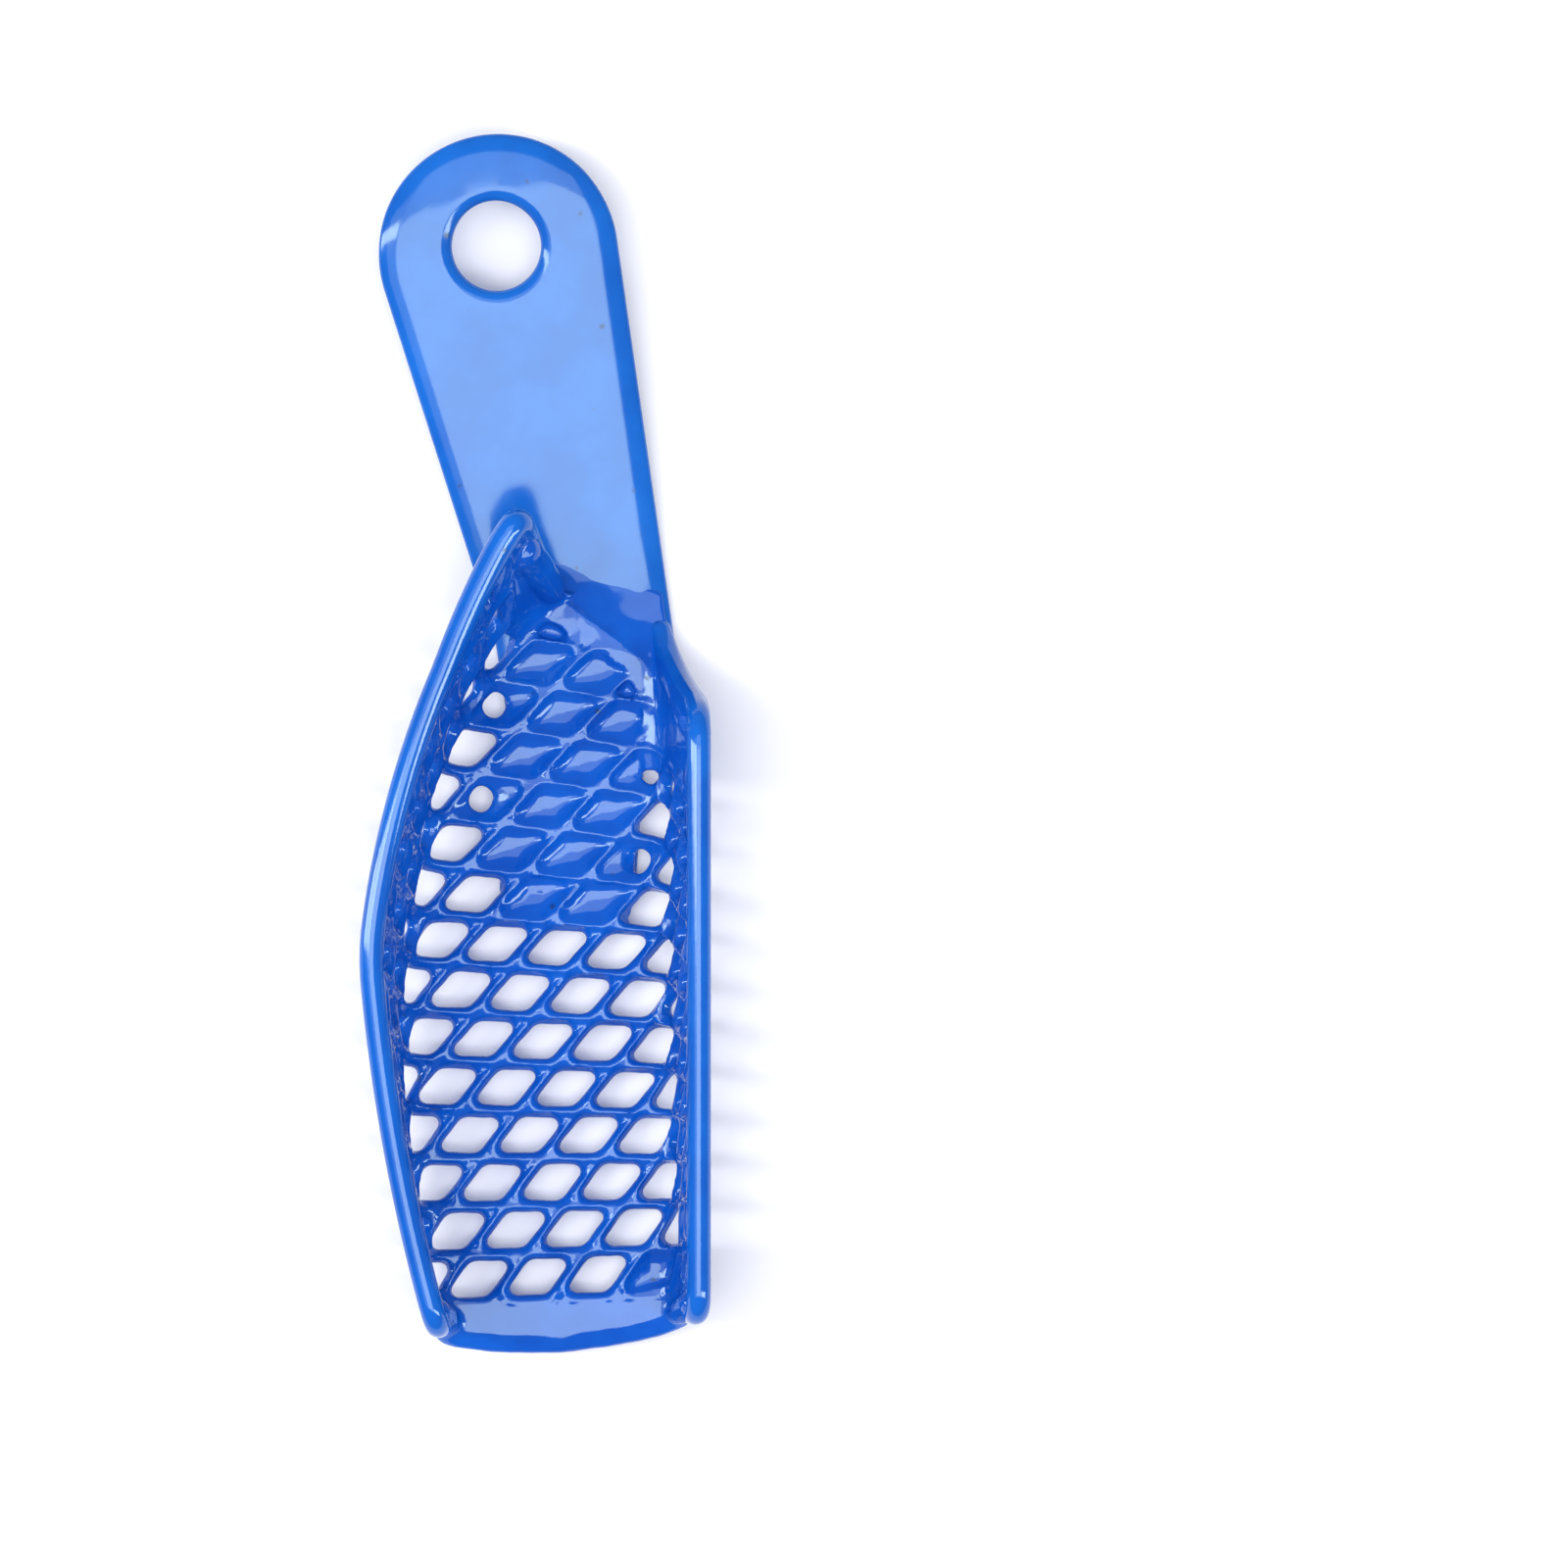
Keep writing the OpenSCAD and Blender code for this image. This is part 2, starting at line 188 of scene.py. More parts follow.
def blade_outline(inset):
    """The handle's outline flat on the drawing, its round end first, standing in by inset."""
    centre = BEND_AT + END_RUN * ALONG
    radius = END_RADIUS - inset
    points = []
    for k in range(ROUND_STEPS + 1):
        angle = math.pi + TAPER - (math.pi + 2 * TAPER) * k / ROUND_STEPS
        points.append(centre + radius * (math.cos(angle) * ACROSS + math.sin(angle) * ALONG))
    edge = [centre + END_RADIUS * (side * math.cos(TAPER) * ACROSS - math.sin(TAPER) * ALONG)
            for side in (1, -1)]
    corners = [edge[0]] + [np.array(c) for c, _ in NECK] + [edge[1]]
    for k, (_, fillet) in enumerate(NECK):
        points += rounded_corner(corners[k], corners[k + 1], corners[k + 2], fillet, inset, FILLET_POINTS)
    return points


def raise_blade(x, y, z):
    """Bends the flat blade up at the neck, and a little back down just beyond the hole."""
    run = (np.array([x, y]) - BEND_AT) @ ALONG
    side = (np.array([x, y]) - BEND_AT) @ ACROSS
    at, up, slope, done = min(run, BENDS[0][0]), 0.0, 0.0, BENDS[0][0]
    for k, (start, length, angle) in enumerate(BENDS):
        part = min(max(run - start, 0.0), length)
        radius = length / angle
        new = slope + part / radius
        at += radius * (math.sin(new) - math.sin(slope))
        up += radius * (math.cos(slope) - math.cos(new))
        slope = new
        stop = BENDS[k + 1][0] if k + 1 < len(BENDS) else math.inf
        straight = min(max(run, start + length), stop) - (start + length)
        at += straight * math.cos(slope)
        up += straight * math.sin(slope)
    place = BEND_AT + (at - z * math.sin(slope)) * ALONG + side * ACROSS
    return place[0], place[1], up + z * math.cos(slope)


def loop_of(bm, points, z):
    return [bm.verts.new((p[0], p[1], z)) for p in points]


def skin(bm, low, high):
    """Quads between two rings of as many points, facing out when they run clockwise."""
    n = len(low)
    for k in range(n):
        bm.faces.new((low[k], high[k], high[(k + 1) % n], low[(k + 1) % n]))


def make_blade(inside, half):
    """The blade, its outline that far inside the coated one and its faces that far from the middle."""
    bm = bmesh.new()
    hole_at = BEND_AT + (END_RUN + HOLE_BEYOND) * ALONG

    def hole_outline(inset):
        radius = HOLE_RADIUS + inside + (inset - inside) / SOFT_EDGE * LIP
        turns = np.linspace(0, 2 * math.pi, ROUND_STEPS + 1)[:-1]
        return [hole_at + radius * np.array([math.cos(a), math.sin(a)]) for a in turns]

    under, over = [], []
    for outline in (blade_outline, hole_outline):
        rings = []
        for k in range(-SOFT_STEPS, SOFT_STEPS + 1):
            phi = abs(k) / SOFT_STEPS * math.pi / 2
            inset = inside + SOFT_EDGE * (1 - math.cos(phi))
            rings.append(loop_of(bm, outline(inset), PLATE / 2 + math.copysign(half * math.sin(phi), k)))
        for low, high in zip(rings, rings[1:]):
            skin(bm, low, high)
        under.append(rings[0])
        over.append(rings[-1])
    for face_rings in (over, under):
        edges = [bm.edges.get((ring[k - 1], ring[k])) for ring in face_rings
                 for k in [*range(1, len(ring)), 0]]
        bmesh.ops.triangle_fill(bm, use_beauty=True, edges=edges)
    for start, length, _ in BENDS:
        for k in range(BEND_CUTS):
            at = BEND_AT + (start + length * k / (BEND_CUTS - 1)) * ALONG
            bmesh.ops.bisect_plane(bm, geom=bm.verts[:] + bm.edges[:] + bm.faces[:],
                                   plane_co=(at[0], at[1], 0), plane_no=(ALONG[0], ALONG[1], 0))
    bmesh.ops.recalc_face_normals(bm, faces=bm.faces[:])
    for v in bm.verts:
        v.co = to_metres(raise_blade(*v.co))
    return bm


def finish_piece(name, source, material, nodes):
    """Turns a bmesh or a mesh into a finished, smooth-shaded piece that stands for the CAD nodes."""
    if isinstance(source, bmesh.types.BMesh):
        mesh = bpy.data.meshes.new(name)
        source.to_mesh(mesh)
        source.free()
    else:
        mesh = source
        mesh.name = name
    piece = bpy.data.objects.new(name, mesh)
    bpy.context.scene.collection.objects.link(piece)
    mesh.materials.clear()
    mesh.materials.append(material)
    mesh.shade_smooth()
    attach(piece, "root")
    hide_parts(*nodes)
    return piece


def coat_finish(name, deep, light, rough, orange_peel):
    """Thick glossy dip: deep blue, a shade lighter where it is thin, faintly uneven, with dust pits."""
    material, shader, place = new_material(name)
    cloud = place.node("ShaderNodeTexNoise", Vector=place, Scale=170.0, Detail=3.0, Roughness=0.55)
    ripple = place.node("ShaderNodeTexNoise", Vector=place, Scale=420.0, Detail=2.0, Roughness=0.5)
    specks = place.node("ShaderNodeTexVoronoi", {"feature": "F1"}, Vector=place, Scale=330.0,
                        Randomness=1.0)
    rare = place.node("ShaderNodeTexNoise", Vector=place, Scale=700.0, Detail=0.0)
    speck = (1.0 - specks.step(0.04, 0.13)) * rare.step(0.56, 0.60)
    body = cloud.step(0.30, 0.72).mix(deep, light)
    feed(shader, "Base Color", speck.mix(body, (0.010, 0.045, 0.20, 1)))
    feed(shader, "Roughness", (rough + 0.05 * (cloud - 0.5) + 0.12 * speck).clamp())
    height = ripple * 0.7 + cloud * 0.5 - speck * 0.2
    peel = height.node("ShaderNodeBump", Height=height, Strength=orange_peel, Distance=0.00006)
    feed(shader, "Normal", peel)
    shader.inputs["IOR"].default_value = 1.52
    shader.inputs["Specular Tint"].default_value = (0.80, 1.0, 0.85, 1)
    return material


blade_blue = coat_finish("blue_dip_handle", (0.004, 0.092, 0.44, 1), (0.006, 0.120, 0.52, 1), 0.12, 0.2)
finish_piece("handle_blade", make_blade(0.0, PLATE / 2), blade_blue, ["handle_coat"])
finish_piece("handle_core", make_blade(CORE_INSIDE, CORE_HALF), steel, ["handle_plate"])

# ---- Expanded-metal trough --------------------------------------------------------------------
# One sheet of diamond mesh, pressed over a former: a flat floor between a curved outer (buccal)
# wall and a straight inner (lingual) wall. Plain bands close both ends. The dip rounds every strand.
FLOOR_Z0 = 1.7
SHEET = 1.3
RIM_Z = 15.2
BUCCAL_RIM = ((-7.8, -48.4), 105.8, ((159, 28.9), (22, 5), (81, 35.8)))
BUCCAL_FOOT = ((-7.4, -50.2), 106.5, ((84, 39), (1e5, 6.5), (30, 20.8)))
LINGUAL_RIM = ((13.95, 1.4), -90, ((1e5, 48.7),))
LINGUAL_FOOT = ((10.5, 5.4), -88.3, ((1e5, 54.9),))
NECK_EDGE = np.array([[1.9, 12.9], [11.8, 5.475]])
NECK_OUT = np.array([0.6, 0.8])
FOLD = 2.6


def walk(line, s):
    """Point and outward normal at length s along a run of clockwise arcs."""
    p, heading = np.array(line[0], float), math.radians(line[1])
    arcs = line[2]
    for k, (radius, length) in enumerate(arcs):
        part = s if k == len(arcs) - 1 else min(s, length)
        new = heading - part / radius
        p = p + radius * np.array([math.sin(heading) - math.sin(new), math.cos(new) - math.cos(heading)])
        heading = new
        s -= part
        if s <= 0:
            break
    return p, np.array([-math.sin(heading), math.cos(heading)])


def run_of(line):
    """The whole length of a run of arcs."""
    return sum(length for _, length in line[2])


def foot_at(line, t):
    """Where a wall starts from the floor, at part t of its length, in the sheet's middle."""
    p, out = walk(line, t * run_of(line))
    return p + out * SHEET / 2


def rim_at(line, t):
    """A point of a rim at part t of its length, in plan."""
    return walk(line, t * run_of(line))[0]


STATIONS = np.linspace(0, 1, 201)
BUCCAL_Y = np.array([foot_at(BUCCAL_FOOT, t)[1] for t in STATIONS])
LINGUAL_Y = np.array([foot_at(LINGUAL_FOOT, t)[1] for t in STATIONS])


def on_sheet(x, y):
    """Where the point (x, y) of the flat sheet lands on the middle of the pressed trough."""
    tb, tl = np.interp(y, BUCCAL_Y, STATIONS), np.interp(-y, -LINGUAL_Y, STATIONS)
    left, right = foot_at(BUCCAL_FOOT, tb), foot_at(LINGUAL_FOOT, tl)
    z = FLOOR_Z0 + SHEET / 2
    if x < (left[0] + right[0]) / 2:
        foot, rim, way, over = left, rim_at(BUCCAL_RIM, tb), 1.0, left[0] - x
    else:
        foot, rim, way, over = right, rim_at(LINGUAL_RIM, tl), -1.0, x - right[0]
    up = np.array([rim[0] - foot[0], rim[1] - foot[1], RIM_Z - z])
    up /= np.linalg.norm(up)
    inward = np.array([way, 0.0, 0.0])
    corner = np.array([foot[0], y, z])
    if over <= -FOLD:
        return corner - inward * over
    if over >= FOLD:
        return corner + up * over
    k = (over + FOLD) / (2 * FOLD)
    return ((1 - k) ** 2 * (corner + inward * FOLD) + 2 * k * (1 - k) * corner
            + k * k * (corner + up * FOLD))


def wall_height(line, rim_line, t):
    """How far a wall runs from its foot to its rim, along its slope."""
    foot, rim = foot_at(line, t), rim_at(rim_line, t)
    return math.hypot(*(rim - foot), RIM_Z - FLOOR_Z0 - SHEET / 2)


# The flat sheet fits into the UV square: the square's side, and where the sheet's zero lies in it.
FLAT_SPAN = 80.0
FLAT_SHIFT = (0.5, 0.7)


def flat_to_uv(x, y):
    return x / FLAT_SPAN + FLAT_SHIFT[0], y / FLAT_SPAN + FLAT_SHIFT[1]


# Cells lie in rows that tilt less and less, each row stepped to the left of the one before.
CELL_PITCH, ROW_PITCH, ROW_STEP = 5.04, 4.0, -1.93
FIRST_CELL = (-4.85, -45.2)
FIRST_TILT, TILT_PER_ROW = math.radians(2.2), math.radians(-0.85)
STRAND = 1.12
SLANT = math.atan2(ROW_PITCH, CELL_PITCH + ROW_STEP)


GUIDE_X, GUIDE_X_STEP = (-36, 38.01), 0.5
GUIDE_Y, GUIDE_Y_STEP = (-54, 17.01), 0.6
# Open mesh: the parts of each wall's length that have it, and how far it runs over the wall's top.
BUCCAL_MESH, LINGUAL_MESH, OVER_TOP = (0.045, 0.93), (0.13, 0.955), 1.5
# It ends before the plain band at the far end, and so far from the neck's edge.
MESH_FAR_Y, FLOOR_PAST, WALL_PAST = -46.7, -2.9, -1.5
# Cells from so far up each wall have the wall's thicker strands.
BUCCAL_THICK_FROM, LINGUAL_THICK_FROM = 1.2, 1.6
# Cells closed by coat, over the tongue and at one spot by the far band: (x from, to, y from, to).
CLOSED = ((-2.6, 7.6, -14.8, math.inf), (8.6, 12, -math.inf, -44.6))
# Cells with a pinhole, right and left of the tongue. The left ones are turned half round.
PINHOLE_RIGHT, PINHOLE_LEFT = (7.6, 9.8, -12, 0), (-4.6, -2.2, -7, 5)


def within(area, x, y):
    return area[0] < x < area[1] and area[2] < y < area[3]


def make_guide():
    """The middle surface of the pressed sheet, its flat position kept as a UV map."""
    xs = np.arange(*GUIDE_X, GUIDE_X_STEP)
    ys = np.arange(*GUIDE_Y, GUIDE_Y_STEP)
    verts, opened, filled, pinned, walled = [], [], [], [], []
    for y in ys:
        tb, tl = np.interp(y, BUCCAL_Y, STATIONS), np.interp(-y, -LINGUAL_Y, STATIONS)
        left, right = foot_at(BUCCAL_FOOT, tb)[0], foot_at(LINGUAL_FOOT, tl)[0]
        for x in xs:
            verts.append(to_metres(on_sheet(x, y)))
            past = (np.array([x, y]) - NECK_EDGE[0]) @ NECK_OUT
            if x < left:
                top = wall_height(BUCCAL_FOOT, BUCCAL_RIM, tb) + OVER_TOP
                ok = BUCCAL_MESH[0] < tb < BUCCAL_MESH[1] and left - x < top
            elif x > right:
                top = wall_height(LINGUAL_FOOT, LINGUAL_RIM, tl) + OVER_TOP
                ok = LINGUAL_MESH[0] < tl < LINGUAL_MESH[1] and x - right < top
            else:
                ok = past < FLOOR_PAST
            opened.append(1.0 if ok and y > MESH_FAR_Y and past < WALL_PAST else 0.0)
            filled.append(1.0 if any(within(area, x, y) for area in CLOSED) else 0.0)
            walled.append(1.0 if left - x > BUCCAL_THICK_FROM or x - right > LINGUAL_THICK_FROM else 0.0)
            pinned.append(float(within(PINHOLE_RIGHT, x, y)) - float(within(PINHOLE_LEFT, x, y)))
    n = len(xs)
    faces = [(j * n + i, j * n + i + 1, (j + 1) * n + i + 1, (j + 1) * n + i)
             for j in range(len(ys) - 1) for i in range(n - 1)]
    mesh = bpy.data.meshes.new("sheet_guide")
    mesh.from_pydata([tuple(v) for v in verts], [], faces)
    flat = mesh.uv_layers.new(name="flat")
    places = [flat_to_uv(x, y) for y in ys for x in xs]
    for loop in mesh.loops:
        flat.data[loop.index].uv = places[loop.vertex_index]
    for name, values in (("opened", opened), ("filled", filled), ("pinned", pinned), ("walled", walled)):
        mesh.attributes.new(name, "FLOAT", "POINT").data.foreach_set("value", values)
    mesh.shade_smooth()
    guide = bpy.data.objects.new("sheet_guide", mesh)
    bpy.context.scene.collection.objects.link(guide)
    return guide


# A strand's top: distances out from the hole's edge, and the heights there over the sheet's middle.
# They rise steeply to the crest above and left of a hole, and gently on its other sides.
FROM_HOLE = (0.0, 0.08, 0.22, 0.42, 0.62)
STEEP = (-0.14, 0.12, 0.40, 0.68, 0.80)
GENTLE = (-0.12, 0.20, 0.38, 0.51, 0.60)
CREST_WAY = np.array([-0.55, 0.835])
# Where a strand's half is narrower than this, its middle is this high.
NARROW, NARROW_TOP = 0.8, 0.66
# A strand's underside: (distance out, height), and the height of the middle of it.
UNDER = ((0.40, -0.52), (0.18, -0.42), (0.05, -0.25))
SHEET_UNDER = -0.56
# Neighbouring cells overlap a little, so that no gap shows between them.
OVERLAP = 1.05
# Fillet radii round a hole, small at the sharp corners and large at the blunt ones.
FILLETS = (0.50, 1.05, 0.50, 1.05)
# A film of coat over a closed cell: (part of the way to its middle, height).
FILM_MIDDLE = np.array([0.15, -0.05])
FILM = ((0.0, 0.30), (0.25, 0.18), (0.5, 0.10), (0.75, 0.06))
# A film with a pinhole, from the strands in to the hole's edge and back underneath.
PINHOLE_MIDDLE = np.array([0.75, 0.05])
PINHOLE, PINHOLE_STRETCH = 0.95, 1.15
PINHOLE_FILM = ((0.0, 0.34), (0.45, 0.26), (0.8, 0.16), (1.0, -0.05), (0.85, -0.3), (0.5, -0.5))


def towards(a, b):
    """The way from a to b, of length one."""
    return (b - a) / np.linalg.norm(b - a)


def cell_hole(strand):
    """Points round the hole between strands of that width, and the way outwards at each."""
    lean = 1 / math.tan(SLANT)
    high = (ROW_PITCH - strand) / 2
    wide = (CELL_PITCH - strand / math.sin(SLANT)) / 2
    corners = [np.array(c) for c in ((-wide - high * lean, -high), (wide - high * lean, -high),
                                     (wide + high * lean, high), (high * lean - wide, high))]
    points, ways = [], []
    for k in range(4):
        here, before, after = corners[k], corners[k - 1], corners[(k + 1) % 4]
        back, on = towards(here, before), towards(here, after)
        half = math.acos(back @ on) / 2
        centre = here + towards(np.zeros(2), back + on) * FILLETS[k] / math.sin(half)
        start, end = math.atan2(back[0], -back[1]), math.atan2(-on[0], on[1])
        while end < start:
            end += 2 * math.pi
        for q in np.linspace(0, 1, 6):
            way = np.array([math.cos(start + (end - start) * q), math.sin(start + (end - start) * q)])
            points.append(centre + FILLETS[k] * way)
            ways.append(way)
        half_after = math.acos(towards(after, here) @ towards(after, corners[(k + 2) % 4])) / 2
        leave, meet = points[-1], after - on * FILLETS[(k + 1) % 4] / math.tan(half_after)
        for q in (0.33, 0.67):
            points.append(leave + (meet - leave) * q)
            ways.append(ways[-1])
    return points, ways


def to_border(p, way):
    """Distance from p along way to the cell's border, in the middle of the strands round it."""
    level, along = ROW_PITCH / 2 * OVERLAP, CELL_PITCH / 2 * OVERLAP
    skew = np.array([1.0, -1 / math.tan(SLANT)])
    found = []
    for limit, at, rate in ((level, p[1], way[1]), (along, p @ skew, way @ skew)):
        if abs(rate) > 1e-6:
            found.append((math.copysign(limit, rate) - at) / rate)
    return min(found)


def make_cell(name, film, strand, node_top):
    """One diamond of the mesh with the strands' halves round it: open, or with a film of coat
    that closes it ("closed") or leaves a round hole to one side ("pinhole")."""
    points, ways = cell_hole(strand)
    rings = [[] for _ in range(2 + len(UNDER) + len(FROM_HOLE))]
    for p, way in zip(points, ways):
        crest = min(max((way @ CREST_WAY + 0.1) / 0.5, 0.0), 1.0)
        border = to_border(p, way)
        edge_top = node_top if border > NARROW else NARROW_TOP
        tops = [(d, s * crest + g * (1 - crest)) for d, s, g in zip(FROM_HOLE, STEEP, GENTLE)]
        for ring, (d, z) in zip(rings, [(border, SHEET_UNDER), *UNDER, *tops, (border, edge_top)]):
            q = p + way * min(d, border)
            ring.append((q[0], q[1], z))
    if film != "open":
        rings = [rings[0], *rings[:-4:-1]]
    if film == "closed":
        rings += [[(*(p * (1 - f) + FILM_MIDDLE * f), z) for p in points] for f, z in FILM]
    elif film == "pinhole":
        turns = [math.atan2(p[1], p[0]) for p in points]
        hole = [PINHOLE_MIDDLE + PINHOLE * np.array([math.cos(a), PINHOLE_STRETCH * math.sin(a)])
                for a in turns]
        rings += [[(*(p * (1 - f) + q * f), z) for p, q in zip(points, hole)]
                  for f, z in PINHOLE_FILM]
    verts = [(x * MM, y * MM, z * MM) for ring in rings for x, y, z in ring]
    n, last = len(points), len(rings) - 1
    faces = []
    for a, b in list(zip(range(last), range(1, last + 1))) + ([] if film == "closed" else [(last, 0)]):
        faces += [(a * n + k, a * n + (k + 1) % n, b * n + (k + 1) % n, b * n + k) for k in range(n)]
    if film == "closed":
        faces.append([last * n + k for k in range(n)])
        faces.append([n - 1 - k for k in range(n)])
    mesh = bpy.data.meshes.new(name)
    mesh.from_pydata(verts, [], faces)
    outward = bmesh.new()
    outward.from_mesh(mesh)
    bmesh.ops.recalc_face_normals(outward, faces=outward.faces[:])
    outward.to_mesh(mesh)
    outward.free()
    return bpy.data.objects.new(name, mesh)


# Columns of the lattice to the left of the first cell, so that the rows also cover that wall.
COLUMNS_BEFORE = 8.0
# Rows between which the strands' lean grows in from the far end, and dies out again at the ramp.
LEAN_FROM, LEAN_FULL = 1.0, 4.0
LEAN_FADES, LEAN_GONE, FADE = 7.5, 10.0, 0.7
# Marks on the guide, and the mark on a point that says which kind of cell it gets.
MARKS = ("opened", "filled", "pinned", "walled")
FILLED_MARK, PINHOLE_MARK, WALL_MARK = 1.0, 2.0, 5.0
KIND_LIMITS = (("Open Cell", -1.0, 0.5), ("Filled Cell", 0.5, 1.5), ("Pinhole Cell", 1.5, 4.0),
               ("Wall Cell", 4.0, 9.0))
INPUT_KINDS = {"Open Cell": "Object", "Filled Cell": "Object", "Pinhole Cell": "Object",
               "Wall Cell": "Object", "Row Lean": "Float", "Unevenness": "Float", "Cells": "Int",
               "Rows": "Int", "Cell Pitch": "Float", "Row Pitch": "Float", "Row Step": "Float",
               "First X": "Float", "First Y": "Float", "First Tilt": "Float", "Tilt per Row": "Float",
               "Finish": "Material"}
CELL_SEED = 7


def lattice_tree():
    """Lays cells in tilted rows on the flat sheet, then lifts them onto the pressed trough."""
    tree = bpy.data.node_groups.new("expanded_metal", "GeometryNodeTree")
    sockets = tree.interface
    sockets.new_socket("Geometry", in_out="OUTPUT", socket_type="NodeSocketGeometry")
    sockets.new_socket("Trough", in_out="INPUT", socket_type="NodeSocketGeometry")
    for name, kind in INPUT_KINDS.items():
        sockets.new_socket(name, in_out="INPUT", socket_type="NodeSocket" + kind)
    source = tree.nodes.new("NodeGroupInput")
    given = {s.name: Wire(tree, s) for s in source.outputs if s.name}
    trough = given["Trough"]

    # Every point of a grid becomes cell i of row j on the flat sheet.
    grid = trough.node("GeometryNodeMeshGrid", Vertices_X=given["Cells"], Vertices_Y=given["Rows"])
    index = trough.node("GeometryNodeInputIndex")
    i = index.math("DIVIDE", given["Rows"]).math("FLOOR") - COLUMNS_BEFORE
    j = index - (i + COLUMNS_BEFORE) * given["Rows"]
    x = given["First X"] + given["Cell Pitch"] * i + given["Row Step"] * j
    tilt = given["First Tilt"] + given["Tilt per Row"] * j
    y = given["First Y"] + given["Row Pitch"] * j + x * tilt.math("TANGENT")
    flat = trough.node("ShaderNodeCombineXYZ", X=x * MM, Y=y * MM)
    laid = trough.node("GeometryNodeSetPosition", Geometry=grid, Position=flat)
    uv_map = trough.node("GeometryNodeInputNamedAttribute", {"data_type": "FLOAT_VECTOR"}, Name="flat")
    marks = {name: trough.node("GeometryNodeInputNamedAttribute", {"data_type": "FLOAT"}, Name=name)
             for name in MARKS}

    def uv_of(place):
        part = [place.node("ShaderNodeSeparateXYZ", out=k, Vector=place) for k in range(2)]
        return trough.node("ShaderNodeCombineXYZ", X=part[0] * (1 / (FLAT_SPAN * MM)) + FLAT_SHIFT[0],
                           Y=part[1] * (1 / (FLAT_SPAN * MM)) + FLAT_SHIFT[1])

    def sampled(value, place, kind):
        """The guide's value where its flat position is the place's."""
        node = tree.nodes.new("GeometryNodeSampleUVSurface")
        node.data_type = kind
        tree.links.new(trough.socket, node.inputs["Mesh"])
        tree.links.new(uv_map.socket, node.inputs["Source UV Map"])
        tree.links.new(value.socket, [s for s in node.inputs if s.name == "Value" and s.enabled][0])
        tree.links.new(uv_of(place).socket, node.inputs["Sample UV"])
        return Wire(tree, [s for s in node.outputs if s.enabled][0])

    def stored(geometry, name, kind, value):
        return trough.node("GeometryNodeStoreNamedAttribute", {"data_type": kind, "domain": "POINT"},
                           Geometry=geometry, Name=name, Value=value)

    # Each point keeps how its cell is turned and which kind of cell it gets.
    here = trough.node("GeometryNodeInputPosition")
    pin = sampled(marks["pinned"], here, "FLOAT")
    uneven = trough.node("FunctionNodeRandomValue", {"data_type": "FLOAT"}, out=1, i2=-1.0, i3=1.0,
                         Seed=CELL_SEED)
    lean = (given["Row Lean"] * (j.step(LEAN_FROM, LEAN_FULL) - FADE * j.step(LEAN_FADES, LEAN_GONE))
            + given["Unevenness"] * uneven)
    half_turn = pin.math("LESS_THAN", -0.5) * math.pi
    turn = trough.node("ShaderNodeCombineXYZ", X=lean, Z=tilt + half_turn)
    tagged = stored(laid, "turn", "FLOAT_VECTOR", turn)
    kind = (sampled(marks["filled"], here, "FLOAT").math("GREATER_THAN", 0.5) * FILLED_MARK
            + PINHOLE_MARK * pin.math("ABSOLUTE").math("GREATER_THAN", 0.5)
            + WALL_MARK * sampled(marks["walled"], here, "FLOAT").math("GREATER_THAN", 0.5))
    full = stored(tagged, "full", "FLOAT", kind)
    drop = trough.node("FunctionNodeCompare", {"data_type": "FLOAT", "operation": "LESS_THAN"},
                       i0=sampled(marks["opened"], here, "FLOAT"), i1=0.5)
    kept = trough.node("GeometryNodeDeleteGeometry", {"domain": "POINT"}, Geometry=full, Selection=drop)
    turned = trough.node("GeometryNodeInputNamedAttribute", {"data_type": "FLOAT_VECTOR"}, Name="turn")
    mark = trough.node("GeometryNodeInputNamedAttribute", {"data_type": "FLOAT"}, Name="full")
    placed = tree.nodes.new("GeometryNodeJoinGeometry")
    for name, low, high in KIND_LIMITS:
        which = mark.math("GREATER_THAN", low) * mark.math("LESS_THAN", high)
        cell = trough.node("GeometryNodeObjectInfo", out=4, Object=given[name])
        laid_cells = trough.node("GeometryNodeInstanceOnPoints", Points=kept, Selection=which,
                                 Instance=cell, Rotation=turned)
        tree.links.new(laid_cells.socket, placed.inputs[0])

    # The strands' points move from the flat sheet to the same place on the guide.
    real = trough.node("GeometryNodeRealizeInstances", Geometry=Wire(tree, placed.outputs[0]))
    thick = here.node("ShaderNodeSeparateXYZ", out=2, Vector=here)
    foot = sampled(here, here, "FLOAT_VECTOR")
    up = sampled(trough.node("GeometryNodeInputNormal"), here, "FLOAT_VECTOR")
    rise = up.node("ShaderNodeVectorMath", {"operation": "SCALE"}, Vector=up, Scale=thick)
    target = foot.node("ShaderNodeVectorMath", {"operation": "ADD"}, i0=foot, i1=rise)
    shaped = trough.node("GeometryNodeSetPosition", Geometry=real, Position=target)
    done = trough.node("GeometryNodeSetMaterial", Geometry=shaped, Material=given["Finish"])
    end = tree.nodes.new("NodeGroupOutput")
    tree.links.new(done.socket, end.inputs[0])
    return tree


def baked(holder):
    """The evaluated mesh of an object, as new data."""
    bpy.context.view_layer.update()
    return bpy.data.meshes.new_from_object(holder.evaluated_get(bpy.context.evaluated_depsgraph_get()))


